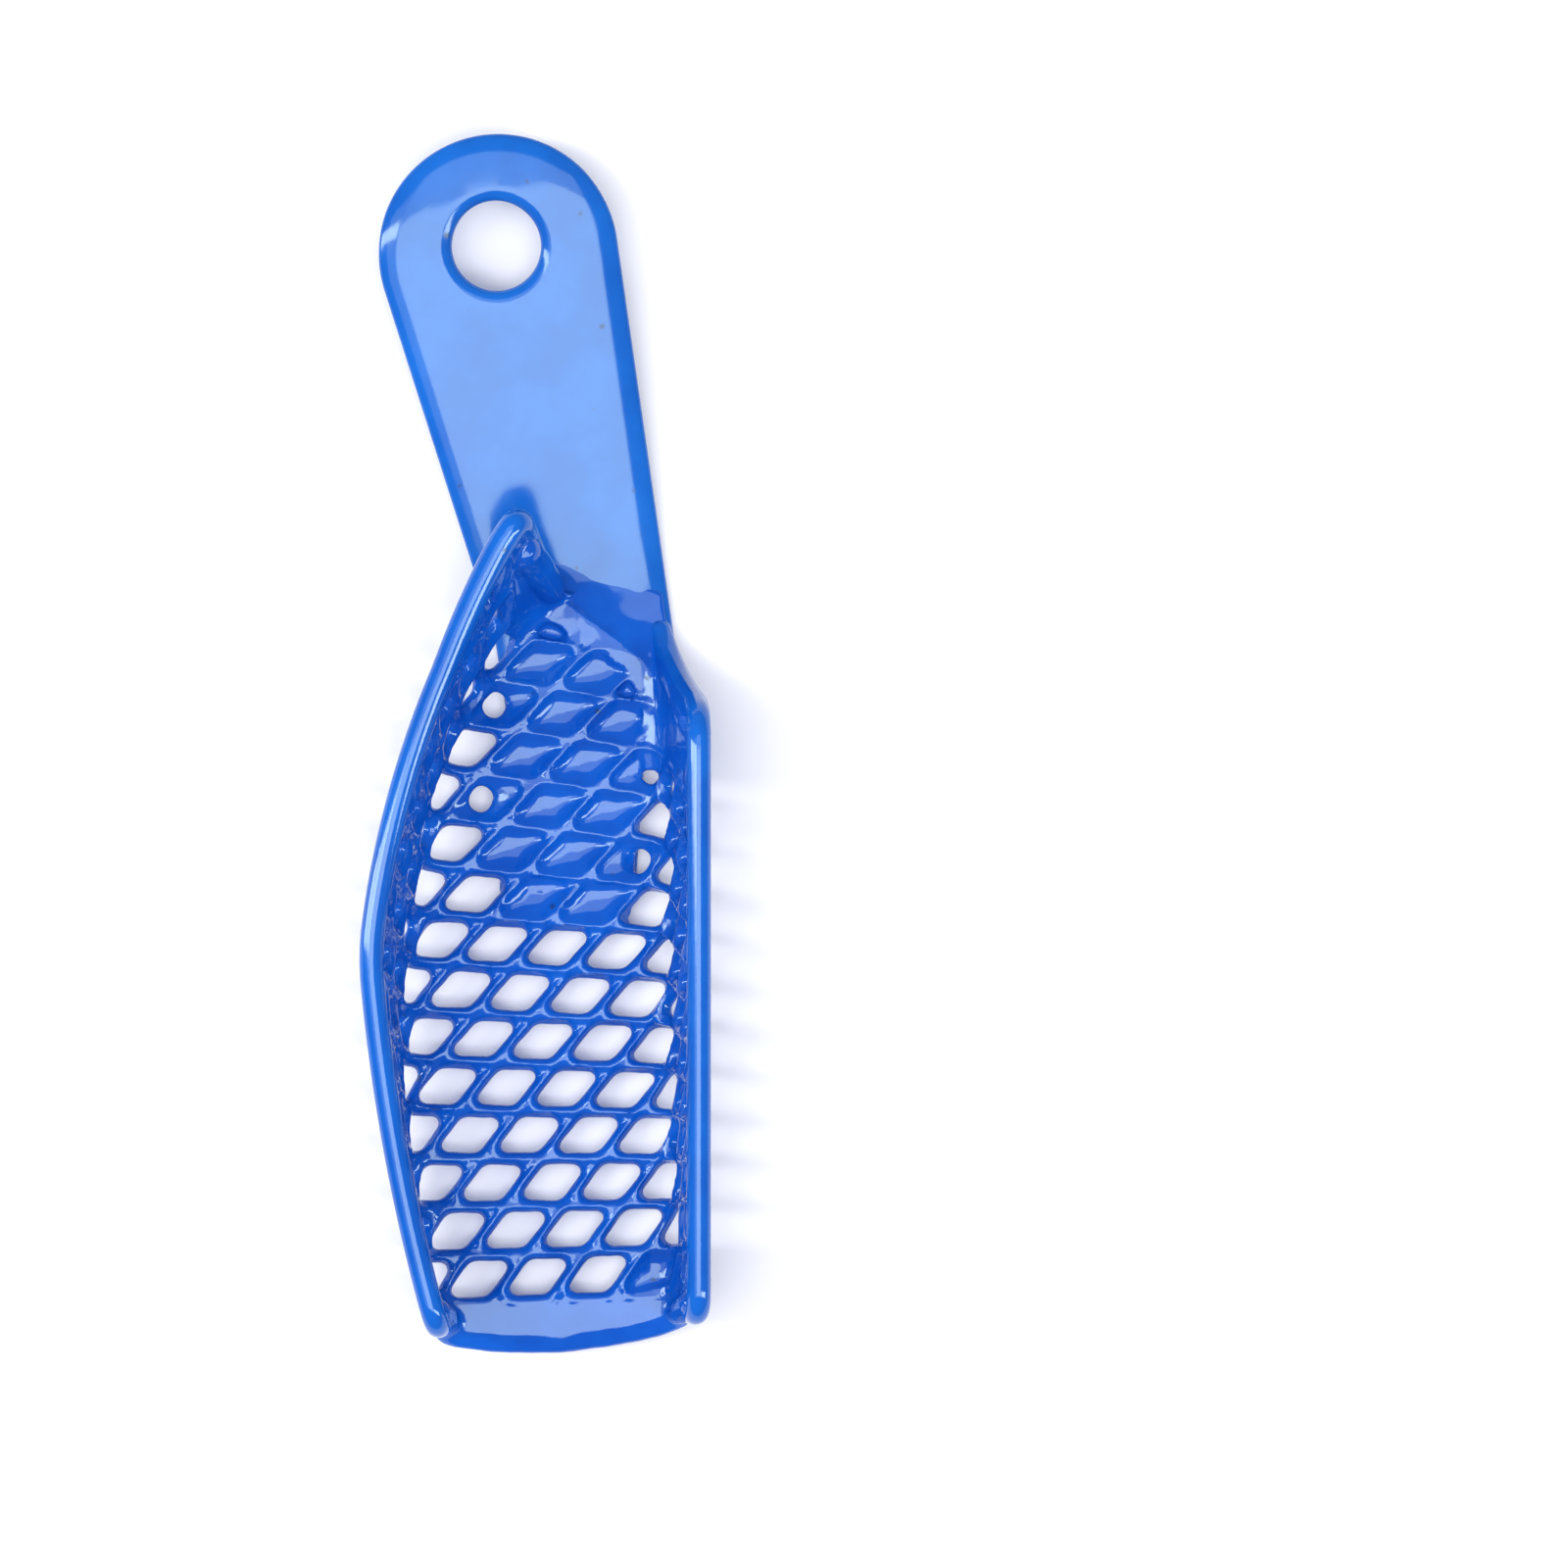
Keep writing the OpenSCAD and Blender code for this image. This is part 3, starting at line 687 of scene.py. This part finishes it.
# The same dip as the handle's, made darker and of a deeper blue: painted shade for the shade among the
# strands.
shaded_mesh_blue = coat_finish("blue_dip_mesh", (0.002, 0.070, 0.44, 1), (0.003, 0.096, 0.52, 1), 0.09, 0.2)
guide = make_guide()
FLOOR_NODE_TOP, FILM_NODE_TOP = 0.47, 0.52
WALL_STRAND, WALL_NODE_TOP = 1.7, 0.85
cells = {"Open Cell": make_cell("open_cell", "open", STRAND, FLOOR_NODE_TOP),
         "Filled Cell": make_cell("filled_cell", "closed", STRAND, FILM_NODE_TOP),
         "Pinhole Cell": make_cell("pinhole_cell", "pinhole", STRAND, FILM_NODE_TOP),
         "Wall Cell": make_cell("wall_cell", "open", WALL_STRAND, WALL_NODE_TOP)}
for cell in cells.values():
    bpy.context.scene.collection.objects.link(cell)
tree = lattice_tree()
lattice = guide.modifiers.new("expanded_metal", "NODES")
lattice.node_group = tree
sizes = {**cells, "Row Lean": math.radians(-6.0), "Unevenness": math.radians(1.5), "Cells": 24,
         "Rows": 15, "Cell Pitch": CELL_PITCH, "Row Pitch": ROW_PITCH, "Row Step": ROW_STEP,
         "First X": FIRST_CELL[0], "First Y": FIRST_CELL[1], "First Tilt": FIRST_TILT,
         "Tilt per Row": TILT_PER_ROW, "Finish": shaded_mesh_blue}
for item in tree.interface.items_tree:
    if item.in_out == "INPUT" and item.name in sizes:
        lattice[item.identifier] = sizes[item.name]
strands = baked(guide)
guide.modifiers.clear()
for spare in (guide, *cells.values()):
    bpy.data.objects.remove(spare)

# The strands end at the border wires, so what stands above them is cut off and capped.
sheet = bmesh.new()
sheet.from_mesh(strands)
bmesh.ops.remove_doubles(sheet, verts=sheet.verts[:], dist=1e-6)
bmesh.ops.bisect_plane(sheet, geom=sheet.verts[:] + sheet.edges[:] + sheet.faces[:],
                       plane_co=(0, 0, RIM_Z * MM), plane_no=(0, 0, 1), clear_outer=True)
bmesh.ops.holes_fill(sheet, edges=[e for e in sheet.edges if e.is_boundary], sides=0)


def add_plate(bm, rows, overs, under):
    """A closed plate over a grid of flat positions, its faces that far over (for each row) and
    under the middle."""
    tops, bottoms = [], []
    step = 0.05  # for the slope of the sheet, from its neighbours' places
    for row, over in zip(rows, overs):
        top, bottom = [], []
        for x, y in row:
            p = on_sheet(x, y)
            n = np.cross(on_sheet(x + step, y) - on_sheet(x - step, y),
                         on_sheet(x, y + step) - on_sheet(x, y - step))
            n /= np.linalg.norm(n)
            top.append(bm.verts.new(to_metres(p + n * over)))
            bottom.append(bm.verts.new(to_metres(p - n * under)))
        tops.append(top)
        bottoms.append(bottom)
    close_plate(bm, tops, bottoms)


def close_plate(bm, tops, bottoms):
    """Faces over, under and all round two grids of points."""
    h, w = len(tops), len(tops[0])
    for a in range(h - 1):
        for b in range(w - 1):
            bm.faces.new((tops[a][b], tops[a][b + 1], tops[a + 1][b + 1], tops[a + 1][b]))
            bm.faces.new((bottoms[a + 1][b], bottoms[a + 1][b + 1], bottoms[a][b + 1], bottoms[a][b]))
    border = ([(0, b) for b in range(w)] + [(a, w - 1) for a in range(1, h)]
              + [(h - 1, b) for b in range(w - 2, -1, -1)] + [(a, 0) for a in range(h - 2, 0, -1)])
    for (a, b), (c, d) in zip(border, border[1:] + border[:1]):
        bm.faces.new((tops[c][d], tops[a][b], bottoms[a][b], bottoms[c][d]))


def blend(a, b, count):
    """So many even steps from a to b, both included."""
    return [a + (b - a) * k / (count - 1) for k in range(count)]


PLAIN_TOP = 0.56

# Plain band across the far end, up both walls to the border wires.
left0, right0 = foot_at(BUCCAL_FOOT, 0), foot_at(LINGUAL_FOOT, 1)
rise_b, rise_l = wall_height(BUCCAL_FOOT, BUCCAL_RIM, 0), wall_height(LINGUAL_FOOT, LINGUAL_RIM, 1)
xs = (blend(left0[0] - rise_b, left0[0] - FOLD, 16)[:-1]
      + blend(left0[0] - FOLD, left0[0] + FOLD, 12)[:-1]
      + blend(left0[0] + FOLD, right0[0] - FOLD, 34)[:-1]
      + blend(right0[0] - FOLD, right0[0] + FOLD, 12)[:-1]
      + blend(right0[0] + FOLD, right0[0] + rise_l, 16))
# The end's arc: its lowest point, where that is, twice its radius, and how far past the feet it runs.
ARC_LOW, ARC_SHIFT, ARC_SPREAD, ARC_PAST = -51.72, 0.6, 84, 2
# Up the walls it leans back at this slope, from so far past the feet, over at most that length.
LEAN_BACK, BACK_FROM, BACK_RUN = 0.35, 1.2, 3


def far_edge(x):
    """The sheet's end: an arc over the floor, square to the wires' legs up the walls."""
    on_arc = min(max(x, left0[0] - ARC_PAST), right0[0] + ARC_PAST)
    return ARC_LOW + (on_arc + ARC_SHIFT) ** 2 / ARC_SPREAD + LEAN_BACK * (
        min(max(left0[0] - BACK_FROM - x, 0), BACK_RUN) + min(max(x - right0[0] - BACK_FROM, 0), BACK_RUN))


edges = np.array([far_edge(x) for x in xs])
for _ in range(4):
    edges[1:-1] = (edges[:-2] + edges[1:-1] + edges[2:]) / 3
# The coat thins to the sheet's edge: (distance in from the edge, height over the middle).
BAND_STEPS = ((0.0, -0.25), (0.12, 0.04), (0.4, 0.23), (0.8, 0.37), (1.3, 0.49), (1.6, 0.55),
              (2.1, PLAIN_TOP), (4.3, PLAIN_TOP))
add_plate(sheet, [[(x, e + d) for x, e in zip(xs, edges)] for d, _ in BAND_STEPS],
          [z for _, z in BAND_STEPS], -SHEET_UNDER)

# Plain borders of both walls at the handle's end. Each starts on the floor, so far in from the
# wall's foot. The outer one begins at this part of its wall's length, the inner one at this station.
BORDER_IN = 2.2
BORDER_POINTS, BORDER_ROWS = 26, 9
BUCCAL_BORDER_FROM, LINGUAL_BORDER_TO = 0.915, 28
# The outer one stops so far short of its wall's end, and the inner one runs so far past it.
BUCCAL_BORDER_BACK, LINGUAL_BORDER_PAST = 0.2, 0.3


def border_row(foot_line, rim_line, t, way, y):
    """Flat positions at y from a little in on the floor to the top of that side's wall."""
    foot = foot_at(foot_line, t)[0]
    inside, top = foot - way * BORDER_IN, foot + way * wall_height(foot_line, rim_line, t)
    low, high = (top, inside) if way < 0 else (inside, top)
    return [(x, y) for x in blend(low, high, BORDER_POINTS)]


rows = [border_row(BUCCAL_FOOT, BUCCAL_RIM, np.interp(y, BUCCAL_Y, STATIONS), -1, y)
        for y in blend(np.interp(BUCCAL_BORDER_FROM, STATIONS, BUCCAL_Y),
                       BUCCAL_Y[-1] - BUCCAL_BORDER_BACK, BORDER_ROWS)]
add_plate(sheet, rows, [PLAIN_TOP] * BORDER_ROWS, -SHEET_UNDER)
rows = [border_row(LINGUAL_FOOT, LINGUAL_RIM, np.interp(-y, -LINGUAL_Y, STATIONS), 1, y)
        for y in blend(LINGUAL_Y[LINGUAL_BORDER_TO], LINGUAL_Y[0] + LINGUAL_BORDER_PAST, BORDER_ROWS)]
add_plate(sheet, rows, [PLAIN_TOP] * BORDER_ROWS, -SHEET_UNDER)

# Plain band of the floor along its slanting edge over the neck. Its inner edge is a little wavy.
BAND_ROWS, BAND_POINTS = 8, 36
BAND_FROM, BAND_WIDTH = -0.3, 1.9
band = []
for k in range(BAND_ROWS):
    row = []
    for u in np.linspace(-0.02, 1.0, BAND_POINTS):
        width = BAND_WIDTH + 0.45 * math.sin(9 * u) + 0.3 * math.sin(23 * u + 1)
        row.append(tuple(NECK_EDGE[0] + (NECK_EDGE[1] - NECK_EDGE[0]) * u
                         + NECK_OUT * (BAND_FROM - width * k / (BAND_ROWS - 1))))
    band.append(row)
add_plate(sheet, band, [PLAIN_TOP] * BAND_ROWS, -SHEET_UNDER)

# The ramp of coat from that band down onto the neck, where it dies out on the rising handle.
RAMP_END = np.array([[0.9, 16.2], [11.2, 12.6]])
RAMP_ROWS, RAMP_POINTS = 20, 24
RAMP_FROM, RAMP_EASE = -0.9, 1.3
RAMP_FOOT_Z, RAMP_UNDER_Z = 1.60, 0.8
RAMP_RIGHT, RAMP_RIGHT_FROM, RAMP_RIGHT_SLOPE = 11.45, 8, 0.17
BEND_RUN = 10
tops, bottoms = [], []
for k in range(RAMP_ROWS):
    q = k / (RAMP_ROWS - 1)
    top, bottom = [], []
    for u in np.linspace(-0.06, 1.03, RAMP_POINTS):
        start = RAMP_FROM + 0.3 * math.sin(8 * u + 2) + 0.15 * math.sin(21 * u)
        inner = NECK_EDGE[0] + (NECK_EDGE[1] - NECK_EDGE[0]) * u + NECK_OUT * start
        p = inner * (1 - q) + (RAMP_END[0] + (RAMP_END[1] - RAMP_END[0]) * u) * q
        p[0] = min(p[0], RAMP_RIGHT - RAMP_RIGHT_SLOPE * max(p[1] - RAMP_RIGHT_FROM, 0))
        z = RAMP_FOOT_Z + (FLOOR_Z0 + SHEET / 2 + PLAIN_TOP - RAMP_FOOT_Z) * (1 - q) ** RAMP_EASE
        lift = max((p - BEND_AT) @ ALONG, BENDS[0][0]) - BENDS[0][0]
        z += lift * lift * BENDS[0][2] / BEND_RUN
        top.append(sheet.verts.new(to_metres((p[0], p[1], z))))
        bottom.append(sheet.verts.new(to_metres((p[0], p[1], RAMP_UNDER_Z))))
    tops.append(top)
    bottoms.append(bottom)
close_plate(sheet, tops, bottoms)


def add_tube(bm, path, radius, sides):
    """A closed round bar along a path, its radius given once or for each point."""
    path = [np.array(p, float) for p in path]
    radii = radius if isinstance(radius, list) else [radius] * len(path)
    across, rings = None, []
    for k, p in enumerate(path):
        ahead = path[min(k + 1, len(path) - 1)] - path[max(k - 1, 0)]
        ahead /= np.linalg.norm(ahead)
        across = np.cross(ahead, (0.3, 1.0, 0.2)) if across is None else across - ahead * (across @ ahead)
        across /= np.linalg.norm(across)
        third = np.cross(ahead, across)
        rings.append([bm.verts.new(to_metres(p + radii[k] * (math.cos(a) * across + math.sin(a) * third)))
                      for a in np.linspace(0, 2 * math.pi, sides + 1)[:-1]])
    for low, high in zip(rings, rings[1:]):
        for k in range(sides):
            bm.faces.new((low[k], low[(k + 1) % sides], high[(k + 1) % sides], high[k]))
    bm.faces.new(rings[0][::-1])
    bm.faces.new(rings[-1])


# Coat gathers round each wire's legs and in the corner under the rim. A leg stands on the round of
# the sheet's fold. The far legs stand a little in from the far edge, and the near inner one also.
FAR_LEG_IN = 1.3
NEAR_LEG_IN = np.array([0.4, 0.5])
LEG_FOOT_Z = FLOOR_Z0 + SHEET / 2 + FOLD / 4


def leg_foot(foot_line, t):
    """Where a leg of the wire meets the sheet, in plan."""
    foot = foot_at(foot_line, t)
    if t == (0 if foot_line is BUCCAL_FOOT else 1):
        inward = FOLD / 4 * (1 if foot_line is BUCCAL_FOOT else -1)
        return foot + np.array([inward, FAR_LEG_IN])
    return foot + NEAR_LEG_IN if foot_line is LINGUAL_FOOT else foot


# The legs' coat: the wall, its end, and the coat's radius.
LEG_COATS = ((BUCCAL_RIM, BUCCAL_FOOT, 0, 1.2), (BUCCAL_RIM, BUCCAL_FOOT, 1, 1.6),
             (LINGUAL_RIM, LINGUAL_FOOT, 0, 1.25), (LINGUAL_RIM, LINGUAL_FOOT, 1, 1.2))
CORNER_ALONG, CORNER_DOWN, CORNER_IN = 0.04, 2.0, 0.45
LEG_SIDES = 16
for rim_line, foot_line, t, thick in LEG_COATS:
    low = np.array([*leg_foot(foot_line, t), LEG_FOOT_Z])
    high = np.array([*rim_at(rim_line, t), RIM_Z])
    inner = np.array([*rim_at(rim_line, abs(t - CORNER_ALONG)), RIM_Z])
    stop = high + (low - high) * CORNER_DOWN / np.linalg.norm(low - high) + (inner - high) * CORNER_IN
    up = (stop - low) / np.linalg.norm(stop - low)
    add_tube(sheet, [low, low + (stop - low) * 0.5, stop - up, stop - up * 0.3, stop],
             [0.8 * thick, thick, thick, thick * 0.8, thick * 0.35], LEG_SIDES)

# The neck's right edge sweeps out into the inner wire's near leg, over a web of coat.
SWEEP = np.array([[10.25, 10.2, 1.06], [11.5, 5.8, 2.3], [13.75, 3.1, 11.5]])
WEB_FOOT_Z, WEB_UP, WEB_LEFT, WEB_RISE = 2.4, 0.78, 0.6, 0.15
WEB_BARS, WEB_RADIUS, WEB_SIDES = 22, 0.85, 12
leg_low = np.array([*leg_foot(LINGUAL_FOOT, 0), WEB_FOOT_Z])
leg_high = np.array([*rim_at(LINGUAL_RIM, 0), RIM_Z])


def sweep_at(q):
    """A point of the sweep, from the neck's edge at 0 to the leg at 1."""
    return SWEEP[0] * (1 - q) ** 2 + SWEEP[1] * 2 * q * (1 - q) + SWEEP[2] * q * q


for q in np.linspace(0, 1, WEB_BARS):
    inner = leg_low + (leg_high - leg_low) * q * WEB_UP + np.array([-WEB_LEFT * (1 - q), 0, 0])
    add_tube(sheet, [inner, sweep_at(q) + np.array([0, 0, WEB_RISE * q])], WEB_RADIUS, WEB_SIDES)

# Coat that fills the gap between the tongue and the mesh over it, drawn in at its edges.
POOL = ((8.0, -15.2, 1.2), (-3.1, -15.2, 1.2), (-2.2, -2.0, 3), (-2.9, 8.5, 3), (2.6, 12.0, 1.5),
        (10.9, 6.0, 1.5), (9.0, 1.0, 3))
POOL_LOW, POOL_HIGH, POOL_CORNER_POINTS = 1.2, 2.2, 6
outline = []
for k, (x, y, fillet) in enumerate(POOL):
    before, after = POOL[k - 1], POOL[(k + 1) % len(POOL)]
    outline += rounded_corner(np.array(before[:2]), np.array([x, y]), np.array(after[:2]), fillet, 0.0,
                              POOL_CORNER_POINTS)
low = [sheet.verts.new(to_metres((p[0], p[1], POOL_LOW))) for p in outline]
high = [sheet.verts.new(to_metres((p[0], p[1], POOL_HIGH))) for p in outline]
n = len(outline)
for k in range(n):
    sheet.faces.new((low[k], low[(k + 1) % n], high[(k + 1) % n], high[k]))
sheet.faces.new(high)
sheet.faces.new(low[::-1])
bmesh.ops.recalc_face_normals(sheet, faces=sheet.faces[:])

# The dip joins all of this into one skin. Growing it and shrinking it back fills the sharp corners,
# then slow waves and a light smoothing make the coat uneven, and the triangles are thinned out.
dip = bpy.data.meshes.new("coated_mesh")
sheet.to_mesh(dip)
sheet.free()
dip_form = bpy.data.objects.new("dip_form", dip)
bpy.context.scene.collection.objects.link(dip_form)
VOXEL = 0.18 * MM
CORNER_FILL = 0.22 * MM
WAVE_HEIGHT = 0.18 * MM
KEEP_FACES = 0.36
waves = bpy.data.textures.new("dip_waves", "CLOUDS")
waves.noise_scale = 2.6 * MM
waves.noise_depth = 1
for k, (kind, settings) in enumerate((
        ("REMESH", {"mode": "VOXEL", "voxel_size": VOXEL, "use_smooth_shade": True}),
        ("DISPLACE", {"strength": CORNER_FILL, "mid_level": 0.0}),
        ("REMESH", {"mode": "VOXEL", "voxel_size": VOXEL, "use_smooth_shade": True}),
        ("DISPLACE", {"strength": -CORNER_FILL, "mid_level": 0.0}),
        ("DISPLACE", {"strength": WAVE_HEIGHT, "mid_level": 0.5, "texture": waves,
                      "texture_coords": "LOCAL"}),
        ("SMOOTH", {"factor": 0.5, "iterations": 1}),
        ("DECIMATE", {"ratio": KEEP_FACES}))):
    step = dip_form.modifiers.new(f"dip_{k}", kind)
    for name, value in settings.items():
        setattr(step, name, value)
dipped = baked(dip_form)
bpy.data.objects.remove(dip_form)
finish_piece("mesh_trough", dipped, shaded_mesh_blue,
             ["floor_mesh", "buccal_wall_mesh", "lingual_wall_mesh", "distal_strip", "mesial_strip",
              "cell_webs", "step_fillet"])

# ---- Border beads -----------------------------------------------------------------------------
# A steel rod is bent round each wall's free edge, down both of its ends, and welded on. The dip
# makes it a smooth round bead.
BEAD, BEAD_SIDES = 1.01, 24
WIRE, WIRE_SIDES = 0.7, 12
LEG_END = 0.8
# The inner bead's near leg follows the sweep of coat off the neck, and its tip stands a little out.
SWEEP_POINTS, SWEEP_USED = 22, 0.97
NEAR_TIP_OUT = np.array([0, 0.6, 0])
CORNER_POINTS, CORNER_CLEAR = 9, 0.3


def bead_path(rim_line, foot_line, samples, corners):
    """Floor, up the wall's end, along its top and down again, with rounded corners."""
    rim = [np.array([*rim_at(rim_line, t), RIM_Z]) for t in np.linspace(0, 1, samples)]
    start, end = (np.array([*leg_foot(foot_line, t), LEG_FOOT_Z]) for t in (0, 1))
    path = [start]
    if foot_line is LINGUAL_FOOT:
        start = sweep_at(1.0)
        path = [sweep_at(q) for q in np.linspace(0.0, SWEEP_USED, SWEEP_POINTS)]
        rim[0] = rim[0] + NEAR_TIP_OUT
    arcs = []
    for tip, leg, along, corner in ((rim[0], start, rim[2], corners[0]), (rim[-1], end, rim[-3], corners[1])):
        to_leg, to_rim = towards(tip, leg), towards(tip, along)
        arcs.append([(1 - q) ** 2 * (tip + corner * to_leg) + 2 * q * (1 - q) * tip
                     + q * q * (tip + corner * to_rim) for q in np.linspace(0, 1, CORNER_POINTS)])
    clear = corners[0] + CORNER_CLEAR
    middle = [p for p in rim if np.linalg.norm(p - rim[0]) > clear and np.linalg.norm(p - rim[-1]) > clear]
    return path + arcs[0] + middle + arcs[1][::-1] + [end]


def make_bar(path, radius, sides):
    """A bar of its own along a path, for a bead or the rod inside it."""
    bm = bmesh.new()
    add_tube(bm, path, radius, sides)
    bmesh.ops.recalc_face_normals(bm, faces=bm.faces[:])
    return bm


bead_blue = coat_finish("blue_dip_bead", (0.003, 0.084, 0.44, 1), (0.004, 0.112, 0.52, 1), 0.09, 0.12)
# Each wall's bead: its name, lines, points along the rim, and how far its two corners are rounded.
BEADS = (("buccal", BUCCAL_RIM, BUCCAL_FOOT, 60, (2.0, 1.3)),
         ("lingual", LINGUAL_RIM, LINGUAL_FOOT, 30, (2.4, 2.0)))
# A drip makes the outer bead thicker round its near corner and moves its middle out and down.
DRIP_REACH, DRIP_FULL = 11, 1.25
DRIP_THICK, DRIP_SHIFT = 0.17, np.array([-0.4, 0.3, -0.17])
for name, rim_line, foot_line, samples, corners in BEADS:
    path = bead_path(rim_line, foot_line, samples, corners)
    thick = [BEAD] * len(path)
    thick[0] = thick[-1] = LEG_END
    if name == "buccal":
        tip = np.array([*rim_at(rim_line, 1), RIM_Z])
        near = [min(max(DRIP_FULL - np.linalg.norm(p - tip) / DRIP_REACH, 0), 1) for p in path]
        thick = [r + DRIP_THICK * s for r, s in zip(thick, near)]
        path = [p + DRIP_SHIFT * s for p, s in zip(path, near)]
    bead, wire = make_bar(path, thick, BEAD_SIDES), make_bar(path, WIRE, WIRE_SIDES)
    finish_piece(name + "_bead", bead, bead_blue, [name + "_rim_coat"])
    finish_piece(name + "_wire", wire, steel, [name + "_rim_wire"])

# ---- Bench, light and camera --------------------------------------------------------------------
# The tray lies on a pale plain bench, its top a hair under the tray. A wide soft light hangs
# overhead with weaker ones behind and to the left, and a long strip stands at either side. The
# camera looks straight down.
BENCH_HALF = 2.0
BENCH_TOP = -0.02 * MM
bench_mesh = bpy.data.meshes.new("bench")
bench_mesh.from_pydata([(x * BENCH_HALF, y * BENCH_HALF, BENCH_TOP)
                        for x, y in ((-1, -1), (1, -1), (1, 1), (-1, 1))], [], [(0, 1, 2, 3)])
bench = bpy.data.objects.new("bench", bench_mesh)
bpy.context.scene.collection.objects.link(bench)
bench_paint, shader, place = new_material("bench_paint")
mottle = place.node("ShaderNodeTexNoise", Vector=place, Scale=60.0, Detail=2.0)
feed(shader, "Base Color", mottle.mix((0.86, 0.86, 0.88, 1), (0.90, 0.90, 0.92, 1)))
shader.inputs["Roughness"].default_value = 0.9
bench_mesh.materials.append(bench_paint)

VIEW_CENTRE = (20.605, -3.228)
CAMERA_HEIGHT = 600
SENSOR_WIDTH, FOCAL_LENGTH = 36, 162
camera_data = bpy.data.cameras.new("camera")
camera = bpy.data.objects.new("camera", camera_data)
bpy.context.scene.collection.objects.link(camera)
camera.location = (VIEW_CENTRE[0] * MM, VIEW_CENTRE[1] * MM, CAMERA_HEIGHT * MM)
camera_data.sensor_width = SENSOR_WIDTH
camera_data.lens = FOCAL_LENGTH
camera_data.clip_start = 0.01
bpy.context.scene.camera = camera


def lamp(name, place, aim, width, length, watts):
    """A white rectangular light at a place, turned to face the point aimed at."""
    data = bpy.data.lights.new(name, "AREA")
    data.shape = "RECTANGLE"
    data.size = width
    data.size_y = length
    data.energy = watts
    light = bpy.data.objects.new(name, data)
    light.location = place
    light.rotation_euler = (Vector(aim) - Vector(place)).to_track_quat("-Z", "Y").to_euler()
    bpy.context.scene.collection.objects.link(light)


lamp("overhead", (0, -0.15, 0.9), (0, -0.15, 0), 0.62, 0.42, 4.9)
lamp("back_panel", (0, 0.23, 0.9), (0, 0.23, 0), 0.62, 0.32, 1.3)
lamp("left_panel", (-0.53, -0.05, 0.9), (-0.53, -0.05, 0), 0.42, 0.7, 1.3)
lamp("left_strip", (-0.60, 0.05, 0.5), (0, 0, 0), 0.13, 0.9, 4.2)
lamp("right_strip", (0.60, -0.275, 0.6), (0, -0.275, 0), 0.13, 0.65, 3.2)
world = bpy.data.worlds.new("studio")
bpy.context.scene.world = world
world.use_nodes = True
background = world.node_tree.nodes["Background"]
background.inputs["Color"].default_value = (0.90, 0.93, 1.0, 1)
background.inputs["Strength"].default_value = 0.26
bpy.context.scene.view_settings.view_transform = "Standard"
